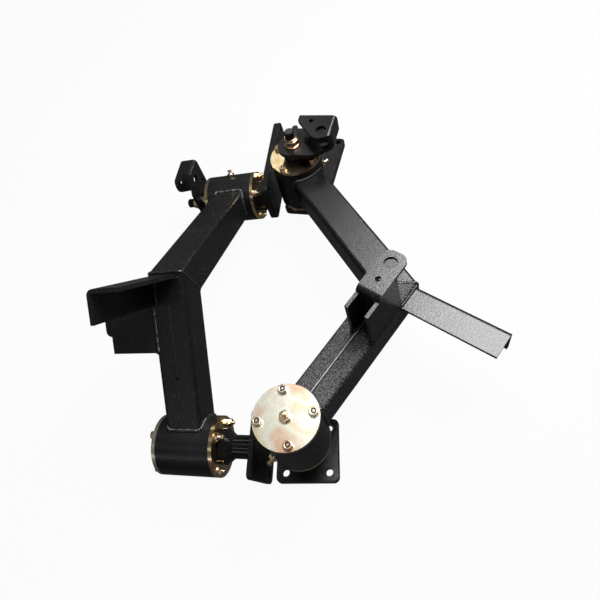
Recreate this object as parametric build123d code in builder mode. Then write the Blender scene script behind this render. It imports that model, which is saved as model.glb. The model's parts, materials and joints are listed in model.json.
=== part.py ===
"""Pair of greased pivot arms: two bent square-tube arms, one lying flat and one standing.

Each arm carries a bearing housing at both ends.  The near housing turns on a spindle that ends in
a square bolt-on flange.  The far housing turns on a spindle that carries a long mounting plate on
one side and a stud with a clamped lever on the other.
Frame: millimetres, +Z up, origin at the middle of the underside of the flat arm's square flange.
"""
import math
import os
from dataclasses import dataclass

from build123d import *

# Arm geometry in the arm's own frame: near pivot at the origin, pivots along local Z
PIVOT_SPAN = 550.0  # near pivot axis to far pivot axis
APEX_OUT = 174.0  # how far the bend stands out from the line of the pivots
APEX_ALONG = 233.0  # how far the bend lies along that line
TUBE = 65.0  # square tube, outside
TUBE_WALL = 5.0
TUBE_CORNER = 8.0
VENT_ALONG = 131.0  # vent hole of the near tube, from the near pivot
VENT_DIA = 5.0

# Bearing housings
HOUSING_OD = 104.0
HOUSING_LENGTH = 99.0
BEARING_OD = 72.0
BEARING_BORE = 35.0
BEARING_WIDTH = 18.0
RELIEF_DIA = 62.0  # bore between the two bearing seats
NUT_ROOM = 14.0  # the cap-side bearing lies this far inside the housing
CUP_LIP = 3.0  # thin edge of a bearing cup
CONE_LIP = 5.5  # thin edge of a bearing cone
ROLLER_GAP = 0.4
RUN_CLEAR = 0.05  # spindle in bearing, radial
TURN_GAP = 0.5  # between a turning face and a fixed one

# Zinc-plated end plates and their screws
END_PLATE = 6.5
SCREW_INSET = 1.0  # screw axis inside the middle of the housing wall
SCREW_COUNT = 4
SCREW_DIA = 8.0
SCREW_HEX = 13.0
SCREW_HEAD = 5.5
SCREW_REACH = 16.0  # thread inside the housing wall
STUD_TAIL = 6.0  # thread left standing behind a nut
HEX_PLUG = 17.0
HEX_PLUG_HIGH = 6.0
PLUG_THREAD = 10.0

# Grease nipples
NIPPLE_REACH = 8.0
NIPPLE_HEX = 11.0
NIPPLE_HEX_HIGH = 5.0
NIPPLE_BASE = 6.0
NIPPLE_TALL = 8.0

# Spindles and seals
SHAFT_DIA = 40.0
HUB_DIA = 62.0
HUB_HIGH = 10.0
HUB_FLARE = 12.0
HUB_BLOCK = 48.0  # square block between the far spindle and the long plate
FOOT_WELD = 4.0
SEAL_LIP = 0.4  # radial gap of a seal
SEAL_WALL = 2.6
SEAL_STAND = 1.0  # end plate to hub
FLANGE_REACH = 66.0  # end plate to square flange
FLANGE_SIDE = 110.0
FLANGE_THICK = 10.0
FLANGE_CORNER = 10.0
FLANGE_HOLE = 13.0
FLANGE_PITCH = 76.0
LONG_REACH = 19.0  # end plate to long plate
LONG_WIDTH = 92.0
LONG_THICK = 16.0
LONG_NEAR = 35.0  # plate end behind the pivot
LONG_FAR = 195.0  # plate end beyond the pivot
LONG_CORNER = 12.0
LONG_HOLE = 13.0
LONG_INSET = 14.0
EDGE_BREAK = 1.5

# Nuts, stud and spacer
STUD_DIA = 20.0
STUD_NUT = 30.0
STUD_NUT_HIGH = 16.0
STUD_FIT = 0.05
WASHER_DIA = 37.0
WASHER_THICK = 4.0
STUD_SPARE = 14.0
SPACER_STEP = 2.0  # journal stops this far below the lever
END_NUT = 46.0
END_NUT_HIGH = 12.0
END_THREAD = 27.0
CASTLE_SLOT = 5.0

# Lever on the far stud, in the spindle's own frame
LEVER_THICK = 8.0
LEVER_LIFT = 20.0  # end plate to lever base
LEVER_GAP = 25.0  # between base and ear
LEVER_REACH = 86.0
LEVER_BACK = 47.0
LEVER_BOSS = 30.0
LEVER_SHOULDER = (48.0, -28.0)
LEVER_LUG = (-8.0, 50.0)
LEVER_LUG_ROUND = 6.0
LEVER_BEND = 8.6
LEVER_PIN = (63.0, 7.0)
LEVER_PIN_HOLE = 20.0
LEVER_PIN_ROUND = 24.0
LEVER_SMALL = (38.0, 31.0)
LEVER_SMALL_HOLE = 10.0
LEVER_TIP = (10.0, 33.0)

# Clevis on the flat face of the near leg; lengths along the leg from the near pivot
CLEVIS_START = 176.0
CLEVIS_LEG = 206.0
CLEVIS_WEB = 254.0  # far edge of the side webs, at the ear
CLEVIS_WEB_FOOT = 262.0  # and at the tube
CLEVIS_END = 292.0
CLEVIS_HIGH = 92.5  # above the tube
CLEVIS_PLATE = 6.0
CLEVIS_WIDTH = 42.0
CLEVIS_BEND = 10.0
CLEVIS_ROUND = 15.0
CLEVIS_PIN = 270.0
CLEVIS_PIN_HOLE = 22.0
CLEVIS_SMALL = 236.0
CLEVIS_SMALL_HOLE = 10.0

# Peg of angle section, square to the outer side of the near leg
PEG_LEG = 50.0
PEG_THICK = 6.0
PEG_LENGTH = 164.0
PEG_DROP = 5.5  # below the tube's upper face
PEG_SETBACK = 4.0  # from the outer corner of the bend
PEG_ROOT = 4.0
PEG_HEEL = 10.0  # outside radius of the fold

# How the arms lie, degrees
STAND_AT = (-194.5, 0.4, 56.5)  # near pivot of the standing arm
STAND_LEAN = (3.26, -3.08, -4.05)
FLAT_LONG_TURN = -13.7
STAND_LONG_TURN = 6.2
FLAT_FLANGE_TURN = 0.0
STAND_FLANGE_TURN = -4.6
FLAT_NIPPLES = {"near": -114.0, "far": 28.0}
STAND_NIPPLES = {"near": 114.0, "far": 28.0}

# Values that follow
SCREW_PCD = (HOUSING_OD + BEARING_OD) / 2 - 2 * SCREW_INSET
FACE = HOUSING_LENGTH / 2 + END_PLATE  # outer face of an end plate
SEAL_HOLE = SHAFT_DIA + 2 * (SEAL_LIP + SEAL_WALL)
FLOOR_DROP = FACE + FLANGE_REACH + FLANGE_THICK
LEVER_BASE = FACE + LEVER_LIFT
LEVER_TOP = LEVER_BASE + 2 * LEVER_THICK + LEVER_GAP
CUP_TOP = HOUSING_LENGTH / 2 - NUT_ROOM  # cap-side face of the upper bearing cup
NUT_SEAT = CUP_TOP - TURN_GAP
SHOULDER = TURN_GAP - HOUSING_LENGTH / 2  # spindle shoulder that carries the lower cone
LEG_ANGLE = math.degrees(math.atan2(APEX_ALONG, APEX_OUT))
FAR_ANGLE = math.degrees(math.atan2(PIVOT_SPAN - APEX_ALONG, -APEX_OUT))
NEAR_LEG = math.hypot(APEX_OUT, APEX_ALONG)
FAR_LEG = math.hypot(APEX_OUT, PIVOT_SPAN - APEX_ALONG)
MITRE = (FAR_ANGLE - LEG_ANGLE) / 2
OUTER_CORNER = NEAR_LEG + TUBE / 2 * math.tan(math.radians(MITRE))
CLEVIS_SIDE = (TUBE - CLEVIS_WIDTH) / 2  # flush with the outer side of the tube
CLEVIS_Z = TUBE / 2 + CLEVIS_HIGH
SEATS = ((CUP_TOP, 1), (-HOUSING_LENGTH / 2, -1))  # bearing face and the way it looks
SIDES = (1, -1)


@dataclass(frozen=True)
class Arm:
    """One arm: its name, the plane of its near pivot and how its two plates are turned."""

    name: str
    plane: Plane
    flange_turn: float
    long_turn: float
    nipple_turns: dict

    def at(self, pivot, z, turn=0.0):
        """Plane square to a pivot at height z, turned about the pivot."""
        return Plane(self.plane.location * Location((0, pivot.y, z), (0, 0, turn)))

    def upright(self, pivot, turn=0.0):
        """Plane through a pivot: sketch X is the radius and sketch Y the pivot."""
        return Plane(self.at(pivot, 0, turn).location * Location((0, 0, 0), (90, 0, 0)))

    def axis(self, pivot):
        """Axis of a pivot."""
        return Axis(self.at(pivot, 0).origin, self.plane.z_dir)

    def nipple_seat(self, pivot):
        """Plane on the side of a housing, facing outward where its grease nipple sits."""
        outward = Location((HOUSING_OD / 2, 0, 0), (0, 90, 0))
        middle = self.at(pivot, pivot.nipple_height, self.nipple_turns[pivot.name])
        return Plane(middle.location * outward)

    def along_leg(self, out, z, tilt=0.0):
        """Plane on the near leg: X along the leg, moved out from it and up, tilted about X."""
        frame = self.plane.location * Location((0, 0, 0), (0, 0, LEG_ANGLE))
        return Plane(frame * Location((0, -out, z), (tilt, 0, 0)))


@dataclass(frozen=True)
class Pivot:
    """One end of an arm: its place on the pivot line, its leg, screws and grease nipple."""

    name: str
    y: float
    leg_angle: float
    leg_length: float
    screw_turn: float
    nipple_height: float


NEAR = Pivot("near", 0.0, LEG_ANGLE, NEAR_LEG, 7.5, 10.0)
FAR = Pivot("far", PIVOT_SPAN, FAR_ANGLE - 180, FAR_LEG, 57.0, 0.0)
LEAN = Plane(Location(STAND_AT, STAND_LEAN))
FLAT = Plane(origin=(0, 0, FLOOR_DROP))
STANDING = Plane(origin=LEAN.origin, x_dir=LEAN.z_dir, z_dir=-LEAN.x_dir)
ARMS = (
    Arm("flat", FLAT, FLAT_FLANGE_TURN, FLAT_LONG_TURN, FLAT_NIPPLES),
    Arm("standing", STANDING, STAND_FLANGE_TURN, STAND_LONG_TURN, STAND_NIPPLES),
)


def save(piece, name):
    """Label a finished piece and write it under its node name."""
    piece.part.label = name
    export_step(piece.part, f"parts/{name}.step")


def leg(arm, pivot):
    """One mitred tube of the bent arm, coped where it meets its housing."""
    turned = Location((0, 0, 0), (0, 90, 0))
    bend = Location((APEX_OUT, APEX_ALONG, 0), (0, 0, LEG_ANGLE + MITRE))
    inner = TUBE - 2 * TUBE_WALL
    with BuildPart() as tube:
        with BuildSketch(Plane(arm.at(pivot, 0, pivot.leg_angle).location * turned)):
            RectangleRounded(TUBE, TUBE, TUBE_CORNER)
            RectangleRounded(inner, inner, TUBE_CORNER - TUBE_WALL, mode=Mode.SUBTRACT)
        extrude(amount=pivot.leg_length + TUBE)
        split(
            bisect_by=Plane(arm.plane.location * bend * turned),
            keep=Keep.BOTTOM if pivot is NEAR else Keep.TOP,
        )
        with BuildSketch(arm.at(pivot, 0)):
            Circle(HOUSING_OD / 2)
        extrude(amount=TUBE, both=True, mode=Mode.SUBTRACT)
        if pivot is NEAR:
            with BuildSketch(arm.along_leg(TUBE / 2, 0, 90)):
                with Locations((VENT_ALONG, 0)):
                    Circle(VENT_DIA / 2)
            extrude(amount=-2 * TUBE_WALL, mode=Mode.SUBTRACT)
    save(tube, f"{arm.name}_{pivot.name}_leg")


def housing(arm, pivot):
    """Bored hub with two bearing seats and the screw holes of its end plates."""
    with BuildPart() as hub:
        with BuildSketch(arm.at(pivot, 0)):
            Circle(HOUSING_OD / 2)
            Circle(RELIEF_DIA / 2, mode=Mode.SUBTRACT)
        extrude(amount=HOUSING_LENGTH / 2, both=True)
        for face, side in SEATS:
            with BuildSketch(arm.at(pivot, face - side * BEARING_WIDTH)):
                Circle(BEARING_OD / 2)
            extrude(amount=side * HOUSING_LENGTH, mode=Mode.SUBTRACT)
            with BuildSketch(arm.at(pivot, side * HOUSING_LENGTH / 2, pivot.screw_turn)):
                with PolarLocations(SCREW_PCD / 2, SCREW_COUNT):
                    Circle(SCREW_DIA / 2)
            extrude(amount=-side * SCREW_REACH, mode=Mode.SUBTRACT)
        with BuildSketch(arm.nipple_seat(pivot)):
            Circle(NIPPLE_BASE / 2)
        extrude(amount=BEARING_OD / 2 - HOUSING_OD / 2 - NIPPLE_BASE, mode=Mode.SUBTRACT)
    save(hub, f"{arm.name}_{pivot.name}_housing")


def end_plate(arm, pivot, side, hole, name):
    """Zinc-plated disc screwed to one end of a housing."""
    with BuildPart() as disc:
        with BuildSketch(arm.at(pivot, side * HOUSING_LENGTH / 2, pivot.screw_turn)):
            Circle(HOUSING_OD / 2)
            with PolarLocations(SCREW_PCD / 2, SCREW_COUNT):
                Circle(SCREW_DIA / 2, mode=Mode.SUBTRACT)
            if hole:
                Circle(hole / 2, mode=Mode.SUBTRACT)
        extrude(amount=side * END_PLATE)
    save(disc, f"{arm.name}_{name}")


def screws(arm, pivot):
    """Screws of a housing: hex heads on the cap side, studs with nuts on the spindle side."""
    root = HOUSING_LENGTH / 2 - SCREW_REACH
    with BuildPart() as group:
        for side in SIDES:
            tail = STUD_TAIL if side < 0 else 0
            with BuildSketch(arm.at(pivot, side * root, pivot.screw_turn)):
                with PolarLocations(SCREW_PCD / 2, SCREW_COUNT):
                    Circle(SCREW_DIA / 2)
            extrude(amount=side * (SCREW_REACH + END_PLATE + SCREW_HEAD + tail))
            with BuildSketch(arm.at(pivot, side * FACE, pivot.screw_turn)):
                with PolarLocations(SCREW_PCD / 2, SCREW_COUNT):
                    RegularPolygon(SCREW_HEX / 2, 6, major_radius=False)
            extrude(amount=side * SCREW_HEAD)
    save(group, f"{arm.name}_{pivot.name}_screws")


def bearing_cups(arm, pivot):
    """Outer rings of the two tapered bearings of a housing, thin edge outward."""
    outer = BEARING_OD / 2
    with BuildPart() as cups:
        with BuildSketch(arm.upright(pivot)):
            for face, side in SEATS:
                seat = face - side * BEARING_WIDTH
                with BuildLine():
                    Polyline(
                        (outer, face),
                        (outer, seat),
                        (outer - 2 * CUP_LIP, seat),
                        (outer - CUP_LIP, face),
                        close=True,
                    )
                make_face()
        revolve(axis=arm.axis(pivot))
    save(cups, f"{arm.name}_{pivot.name}_bearing_cups")


def bearing_cones(arm, pivot):
    """Inner rings with their rollers, tapered to run in the cups."""
    inner = BEARING_BORE / 2
    wide = BEARING_OD / 2 - CUP_LIP - ROLLER_GAP
    with BuildPart() as cones:
        with BuildSketch(arm.upright(pivot)):
            for face, side in SEATS:
                seat = face - side * BEARING_WIDTH
                top = face - side * TURN_GAP
                with BuildLine():
                    Polyline(
                        (inner, top),
                        (inner + CONE_LIP, top),
                        (wide, top - side * EDGE_BREAK),
                        (wide - CUP_LIP, seat),
                        (inner, seat),
                        close=True,
                    )
                make_face()
        revolve(axis=arm.axis(pivot))
    save(cones, f"{arm.name}_{pivot.name}_bearing_cones")


def seals(arm, pivot, sides):
    """Seals pressed into the holes of a housing's end plates."""
    with BuildPart() as rings:
        for side in sides:
            with BuildSketch(arm.at(pivot, side * HOUSING_LENGTH / 2)):
                Circle(SEAL_HOLE / 2)
                Circle(SHAFT_DIA / 2 + SEAL_LIP, mode=Mode.SUBTRACT)
            extrude(amount=side * (END_PLATE + SEAL_LIP))
    save(rings, f"{arm.name}_{pivot.name}_seals")


def near_spindle(arm):
    """Spindle of the near pivot: welded foot, hub, bearing journal and end thread."""
    journal = BEARING_BORE / 2 - RUN_CLEAR
    shaft = SHAFT_DIA / 2
    thread = END_THREAD / 2
    foot = -(FACE + FLANGE_REACH)
    hub = -(FACE + SEAL_STAND)
    with BuildPart() as spindle:
        with BuildSketch(arm.upright(NEAR)):
            with BuildLine():
                Polyline(
                    (0, foot),
                    (shaft + FOOT_WELD, foot),
                    (shaft, foot + FOOT_WELD),
                    (shaft, hub - HUB_HIGH - HUB_FLARE),
                    (HUB_DIA / 2 - EDGE_BREAK, hub - HUB_HIGH),
                    (HUB_DIA / 2, hub - HUB_HIGH + EDGE_BREAK),
                    (HUB_DIA / 2, hub),
                    (shaft, hub),
                    (shaft, SHOULDER),
                    (journal, SHOULDER),
                    (journal, NUT_SEAT),
                    (thread, NUT_SEAT),
                    (thread, NUT_SEAT + END_NUT_HIGH),
                    (0, NUT_SEAT + END_NUT_HIGH),
                    close=True,
                )
            make_face()
        revolve(axis=arm.axis(NEAR))
    save(spindle, f"{arm.name}_near_spindle")


def near_nut(arm):
    """Castle nut on the near spindle, slotted for a split pin."""
    with BuildPart() as nut:
        with BuildSketch(arm.at(NEAR, NUT_SEAT)):
            RegularPolygon(END_NUT / 2, 6, major_radius=False)
            Circle(END_THREAD / 2, mode=Mode.SUBTRACT)
        extrude(amount=END_NUT_HIGH)
        with BuildSketch(arm.at(NEAR, NUT_SEAT + END_NUT_HIGH)):
            with PolarLocations(END_NUT / 2, 6):
                Rectangle(END_NUT / 2, CASTLE_SLOT)
        extrude(amount=-CASTLE_SLOT, mode=Mode.SUBTRACT)
    save(nut, f"{arm.name}_near_castle_nut")


def square_flange(arm):
    """Square bolt-on plate at the foot of the near spindle."""
    with BuildPart() as plate:
        with BuildSketch(arm.at(NEAR, -(FACE + FLANGE_REACH), arm.flange_turn)):
            RectangleRounded(FLANGE_SIDE, FLANGE_SIDE, FLANGE_CORNER)
        extrude(amount=-FLANGE_THICK)
        chamfer(plate.faces().filter_by(arm.axis(NEAR)).edges(), EDGE_BREAK)
        with BuildSketch(arm.at(NEAR, -(FACE + FLANGE_REACH), arm.flange_turn)):
            with GridLocations(FLANGE_PITCH, FLANGE_PITCH, 2, 2):
                Circle(FLANGE_HOLE / 2)
        extrude(amount=-FLANGE_THICK, mode=Mode.SUBTRACT)
    save(plate, f"{arm.name}_square_flange")


def far_spindle(arm):
    """Spindle of the far pivot: square block on the long plate, journal and lever stud."""
    journal = BEARING_BORE / 2 - RUN_CLEAR
    shaft = SHAFT_DIA / 2
    stud = STUD_DIA / 2
    foot = -(FACE + LONG_REACH)
    step = LEVER_BASE - SPACER_STEP
    tip = LEVER_BASE + LEVER_THICK + WASHER_THICK + STUD_NUT_HIGH + STUD_SPARE
    with BuildPart() as spindle:
        with BuildSketch(arm.upright(FAR)):
            with BuildLine():
                Polyline(
                    (0, foot),
                    (shaft, foot),
                    (shaft, SHOULDER),
                    (journal, SHOULDER),
                    (journal, step),
                    (stud, step),
                    (stud, tip - EDGE_BREAK),
                    (stud - EDGE_BREAK, tip),
                    (0, tip),
                    close=True,
                )
            make_face()
        revolve(axis=arm.axis(FAR))
        with BuildSketch(arm.at(FAR, foot, arm.long_turn)):
            RectangleRounded(HUB_BLOCK, HUB_BLOCK, EDGE_BREAK)
        extrude(amount=LONG_REACH - SEAL_STAND)
    save(spindle, f"{arm.name}_far_spindle")


def long_plate(arm):
    """Long mounting plate on the far spindle, with holes at both ends."""
    length = LONG_NEAR + LONG_FAR
    middle = (LONG_FAR - LONG_NEAR) / 2
    top = -(FACE + LONG_REACH)
    with BuildPart() as plate:
        with BuildSketch(arm.at(FAR, top, arm.long_turn)):
            with Locations((0, middle)):
                RectangleRounded(LONG_WIDTH, length, LONG_CORNER)
        extrude(amount=-LONG_THICK)
        chamfer(plate.faces().filter_by(arm.axis(FAR)).edges(), EDGE_BREAK)
        with BuildSketch(arm.at(FAR, top, arm.long_turn)):
            with Locations((0, middle)):
                with GridLocations(LONG_WIDTH - 2 * LONG_INSET, length - 2 * LONG_INSET, 2, 2):
                    Circle(LONG_HOLE / 2)
        extrude(amount=-LONG_THICK, mode=Mode.SUBTRACT)
    save(plate, f"{arm.name}_long_plate")


def spacer(arm):
    """Sleeve between the cap-side bearing and the lever; the seal runs on it."""
    with BuildPart() as sleeve:
        with BuildSketch(arm.at(FAR, NUT_SEAT)):
            Circle(SHAFT_DIA / 2)
            Circle(BEARING_BORE / 2, mode=Mode.SUBTRACT)
        extrude(amount=LEVER_BASE - NUT_SEAT)
    save(sleeve, f"{arm.name}_spacer_sleeve")


def lever_outline(arm):
    """Solid that holds the plan shapes of the lever's base and ear, one above the other."""
    split_height = LEVER_BASE + LEVER_THICK + LEVER_GAP / 2
    with BuildPart() as outline:
        with BuildSketch(arm.at(FAR, LEVER_BASE, arm.long_turn)):
            Circle(LEVER_BOSS)
            with BuildLine():
                Polyline(
                    (0, -LEVER_BOSS),
                    LEVER_SHOULDER,
                    (LEVER_REACH, 0),
                    (LEVER_REACH, LEVER_BACK),
                    (0, LEVER_BACK),
                    close=True,
                )
            make_face()
            with BuildSketch(mode=Mode.PRIVATE) as lug:
                Circle(LEVER_BOSS / 2)
                with Locations(LEVER_LUG):
                    Circle(LEVER_LUG_ROUND)
                make_hull()
            add(lug.sketch_local)
        extrude(amount=split_height - LEVER_BASE)
        with BuildSketch(arm.at(FAR, split_height, arm.long_turn)):
            with Locations(LEVER_PIN):
                Circle(LEVER_PIN_ROUND)
            with BuildLine():
                Polyline(
                    LEVER_TIP,
                    (LEVER_TIP[0], LEVER_BACK),
                    (LEVER_REACH, LEVER_BACK),
                    (LEVER_REACH, LEVER_PIN[1]),
                    close=True,
                )
            make_face()
            make_hull()
        extrude(amount=LEVER_TOP - split_height)
    return outline.part


def lever(arm):
    """C-shaped lever bent from plate: base on the stud, web at the end, pin ear above."""
    mask = lever_outline(arm)
    reach = LEVER_REACH + LEVER_BOSS
    high = LEVER_TOP - LEVER_BASE
    middle = (LEVER_TOP + LEVER_BASE) / 2
    with BuildPart() as part:
        with BuildSketch(arm.upright(FAR, arm.long_turn)):
            with Locations((LEVER_REACH - reach / 2, middle)):
                RectangleRounded(reach, high, LEVER_BEND)
            inner = reach - LEVER_THICK
            with Locations((LEVER_REACH - LEVER_THICK - inner / 2, middle)):
                RectangleRounded(inner, LEVER_GAP, LEVER_BEND - LEVER_THICK, mode=Mode.SUBTRACT)
            with Locations((LEVER_REACH - reach, middle)):
                Rectangle(2 * LEVER_BEND, high, mode=Mode.SUBTRACT)
            with Locations((LEVER_REACH - reach + LEVER_BEND / 2, LEVER_BASE + LEVER_THICK / 2)):
                Rectangle(LEVER_BEND, LEVER_THICK)
        extrude(amount=LEVER_LUG[1] + 2 * LEVER_BOSS, both=True)
        add(mask, mode=Mode.INTERSECT)
        with BuildSketch(arm.at(FAR, LEVER_BASE, arm.long_turn)):
            Circle(STUD_DIA / 2 + STUD_FIT)
            with Locations(LEVER_PIN):
                Circle(LEVER_PIN_HOLE / 2)
            with Locations(LEVER_SMALL):
                Circle(LEVER_SMALL_HOLE / 2)
        extrude(amount=LEVER_TOP - LEVER_BASE, mode=Mode.SUBTRACT)
    save(part, f"{arm.name}_lever")


def lever_washer(arm):
    """Plain washer under the lever nut."""
    with BuildPart() as washer:
        with BuildSketch(arm.at(FAR, LEVER_BASE + LEVER_THICK)):
            Circle(WASHER_DIA / 2)
            Circle(STUD_DIA / 2 + STUD_FIT, mode=Mode.SUBTRACT)
        extrude(amount=WASHER_THICK)
    save(washer, f"{arm.name}_lever_washer")


def lever_nut(arm):
    """Hex nut that clamps the lever, with both rims chamfered."""
    seat = LEVER_BASE + LEVER_THICK + WASHER_THICK
    corner = STUD_NUT / math.sqrt(3)
    with BuildPart() as nut:
        with BuildSketch(arm.at(FAR, seat)):
            RegularPolygon(STUD_NUT / 2, 6, major_radius=False)
        extrude(amount=STUD_NUT_HIGH)
        with BuildSketch(arm.upright(FAR)):
            with BuildLine():
                Polyline(
                    (0, seat),
                    (corner - EDGE_BREAK, seat),
                    (corner, seat + EDGE_BREAK / 2),
                    (corner, seat + STUD_NUT_HIGH - EDGE_BREAK / 2),
                    (corner - EDGE_BREAK, seat + STUD_NUT_HIGH),
                    (0, seat + STUD_NUT_HIGH),
                    close=True,
                )
            make_face()
        revolve(axis=arm.axis(FAR), mode=Mode.INTERSECT)
        with BuildSketch(arm.at(FAR, seat)):
            Circle(STUD_DIA / 2 + STUD_FIT)
        extrude(amount=STUD_NUT_HIGH, mode=Mode.SUBTRACT)
    save(nut, f"{arm.name}_lever_nut")


def cap_plug(arm):
    """Hex plug in the middle of the near cap, with a grease nipple on top."""
    with BuildPart() as plug:
        with BuildSketch(arm.at(NEAR, HOUSING_LENGTH / 2)):
            Circle(PLUG_THREAD / 2)
        extrude(amount=END_PLATE)
        with BuildSketch(arm.at(NEAR, FACE)):
            RegularPolygon(HEX_PLUG / 2, 6, major_radius=False)
        extrude(amount=HEX_PLUG_HIGH)
        with BuildSketch(arm.at(NEAR, FACE + HEX_PLUG_HIGH)):
            Circle(NIPPLE_BASE / 2)
        extrude(amount=NIPPLE_TALL)
    save(plug, f"{arm.name}_cap_plug")


def grease_nipples(arm):
    """Grease nipples screwed into the sides of the two housings."""
    with BuildPart() as nipples:
        for pivot in (NEAR, FAR):
            seat = arm.nipple_seat(pivot)
            with BuildSketch(seat):
                Circle(NIPPLE_BASE / 2)
            extrude(amount=-NIPPLE_REACH)
            with BuildSketch(seat):
                RegularPolygon(NIPPLE_HEX / 2, 6, major_radius=False)
            extrude(amount=NIPPLE_HEX_HIGH)
            with BuildSketch(seat):
                Circle(NIPPLE_BASE / 2)
            extrude(amount=NIPPLE_HEX_HIGH + NIPPLE_TALL)
    save(nipples, f"{arm.name}_grease_nipples")


def clevis(arm):
    """Clevis bracket on the near leg: an upright bent over into a pin ear, and two webs."""
    outer = CLEVIS_SIDE + CLEVIS_WIDTH / 2
    foot = TUBE / 2
    back = CLEVIS_LEG + CLEVIS_PLATE
    end = CLEVIS_END - CLEVIS_ROUND
    with BuildPart() as bracket:
        with BuildSketch(arm.along_leg(outer, 0, 90)):
            with BuildLine():
                bend = FilletPolyline(
                    (CLEVIS_LEG, foot),
                    (CLEVIS_LEG, CLEVIS_Z),
                    (CLEVIS_END, CLEVIS_Z),
                    radius=CLEVIS_BEND,
                )
                Line(bend @ 1, (CLEVIS_END, CLEVIS_Z - CLEVIS_PLATE))
                inside = FilletPolyline(
                    (CLEVIS_END, CLEVIS_Z - CLEVIS_PLATE),
                    (back, CLEVIS_Z - CLEVIS_PLATE),
                    (back, foot),
                    radius=CLEVIS_BEND - CLEVIS_PLATE,
                )
                Line(inside @ 1, bend @ 0)
            make_face()
        extrude(amount=-CLEVIS_WIDTH)
        with BuildSketch(arm.along_leg(CLEVIS_SIDE, 0)):
            with Locations(((CLEVIS_LEG + CLEVIS_END) / 2, 0)):
                RectangleRounded(CLEVIS_END - CLEVIS_LEG, CLEVIS_WIDTH, CLEVIS_ROUND)
            with Locations(((CLEVIS_LEG + end) / 2, 0)):
                Rectangle(end - CLEVIS_LEG, CLEVIS_WIDTH)
        extrude(amount=2 * CLEVIS_Z, mode=Mode.INTERSECT)
        with BuildSketch(arm.along_leg(CLEVIS_SIDE, CLEVIS_Z - CLEVIS_PLATE)):
            with Locations((CLEVIS_PIN, 0)):
                Circle(CLEVIS_PIN_HOLE / 2)
            with Locations((CLEVIS_SMALL, 0)):
                Circle(CLEVIS_SMALL_HOLE / 2)
        extrude(amount=CLEVIS_PLATE, mode=Mode.SUBTRACT)
        for out in (outer, outer - CLEVIS_WIDTH + CLEVIS_PLATE):
            with BuildSketch(arm.along_leg(out, 0, 90)):
                with BuildLine():
                    Polyline(
                        (CLEVIS_START, foot),
                        (CLEVIS_START, CLEVIS_Z - CLEVIS_BEND),
                        (CLEVIS_LEG, CLEVIS_Z - CLEVIS_BEND),
                        (CLEVIS_LEG + CLEVIS_BEND, CLEVIS_Z - CLEVIS_PLATE),
                        (CLEVIS_WEB, CLEVIS_Z - CLEVIS_PLATE),
                        (CLEVIS_WEB_FOOT, foot),
                        close=True,
                    )
                make_face()
            extrude(amount=-CLEVIS_PLATE)
    save(bracket, f"{arm.name}_clevis_bracket")


def peg(arm):
    """Length of angle section standing square off the outer side of the near leg."""
    side = arm.along_leg(TUBE / 2, 0, 90)
    top = TUBE / 2 - PEG_DROP
    heel = OUTER_CORNER - PEG_SETBACK
    corner = (heel - PEG_THICK, top - PEG_THICK)
    far_corner = (Align.MAX, Align.MAX)
    with BuildPart() as angle:
        with BuildSketch(side):
            with Locations((heel, top)):
                Rectangle(PEG_LEG, PEG_LEG, align=far_corner)
            with Locations(corner):
                Rectangle(PEG_LEG, PEG_LEG, align=far_corner, mode=Mode.SUBTRACT)
        extrude(amount=PEG_LENGTH)
        for (along, up), radius in ((corner, PEG_ROOT), ((heel, top), PEG_HEEL)):
            middle = side.from_local_coords((along, up, PEG_LENGTH / 2))
            fillet(angle.edges().sort_by_distance(middle)[0], radius)
    save(angle, f"{arm.name}_peg")


def build_arm(arm):
    """Build and export every piece of one arm."""
    near_spindle(arm)
    near_nut(arm)
    square_flange(arm)
    far_spindle(arm)
    long_plate(arm)
    spacer(arm)
    lever(arm)
    lever_washer(arm)
    lever_nut(arm)
    for pivot in (NEAR, FAR):
        leg(arm, pivot)
        housing(arm, pivot)
        screws(arm, pivot)
        bearing_cups(arm, pivot)
        bearing_cones(arm, pivot)
    end_plate(arm, NEAR, 1, PLUG_THREAD, "near_cap")
    end_plate(arm, NEAR, -1, SEAL_HOLE, "near_end_plate")
    end_plate(arm, FAR, 1, SEAL_HOLE, "far_cap")
    end_plate(arm, FAR, -1, SEAL_HOLE, "far_end_plate")
    seals(arm, NEAR, SIDES[1:])
    seals(arm, FAR, SIDES)
    cap_plug(arm)
    grease_nipples(arm)
    clevis(arm)
    peg(arm)


if __name__ == "__main__":
    os.makedirs("parts", exist_ok=True)
    for one in ARMS:
        build_arm(one)
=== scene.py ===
"""Dresses a pair of greased pivot arms: powder-coated tubes, zinc-plated caps, screws, welds."""

from __future__ import annotations

import json
import logging
import math
from dataclasses import dataclass, field
from enum import Enum
from typing import Sequence

import bpy
import numpy as np
from mathutils import Matrix, Vector

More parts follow.
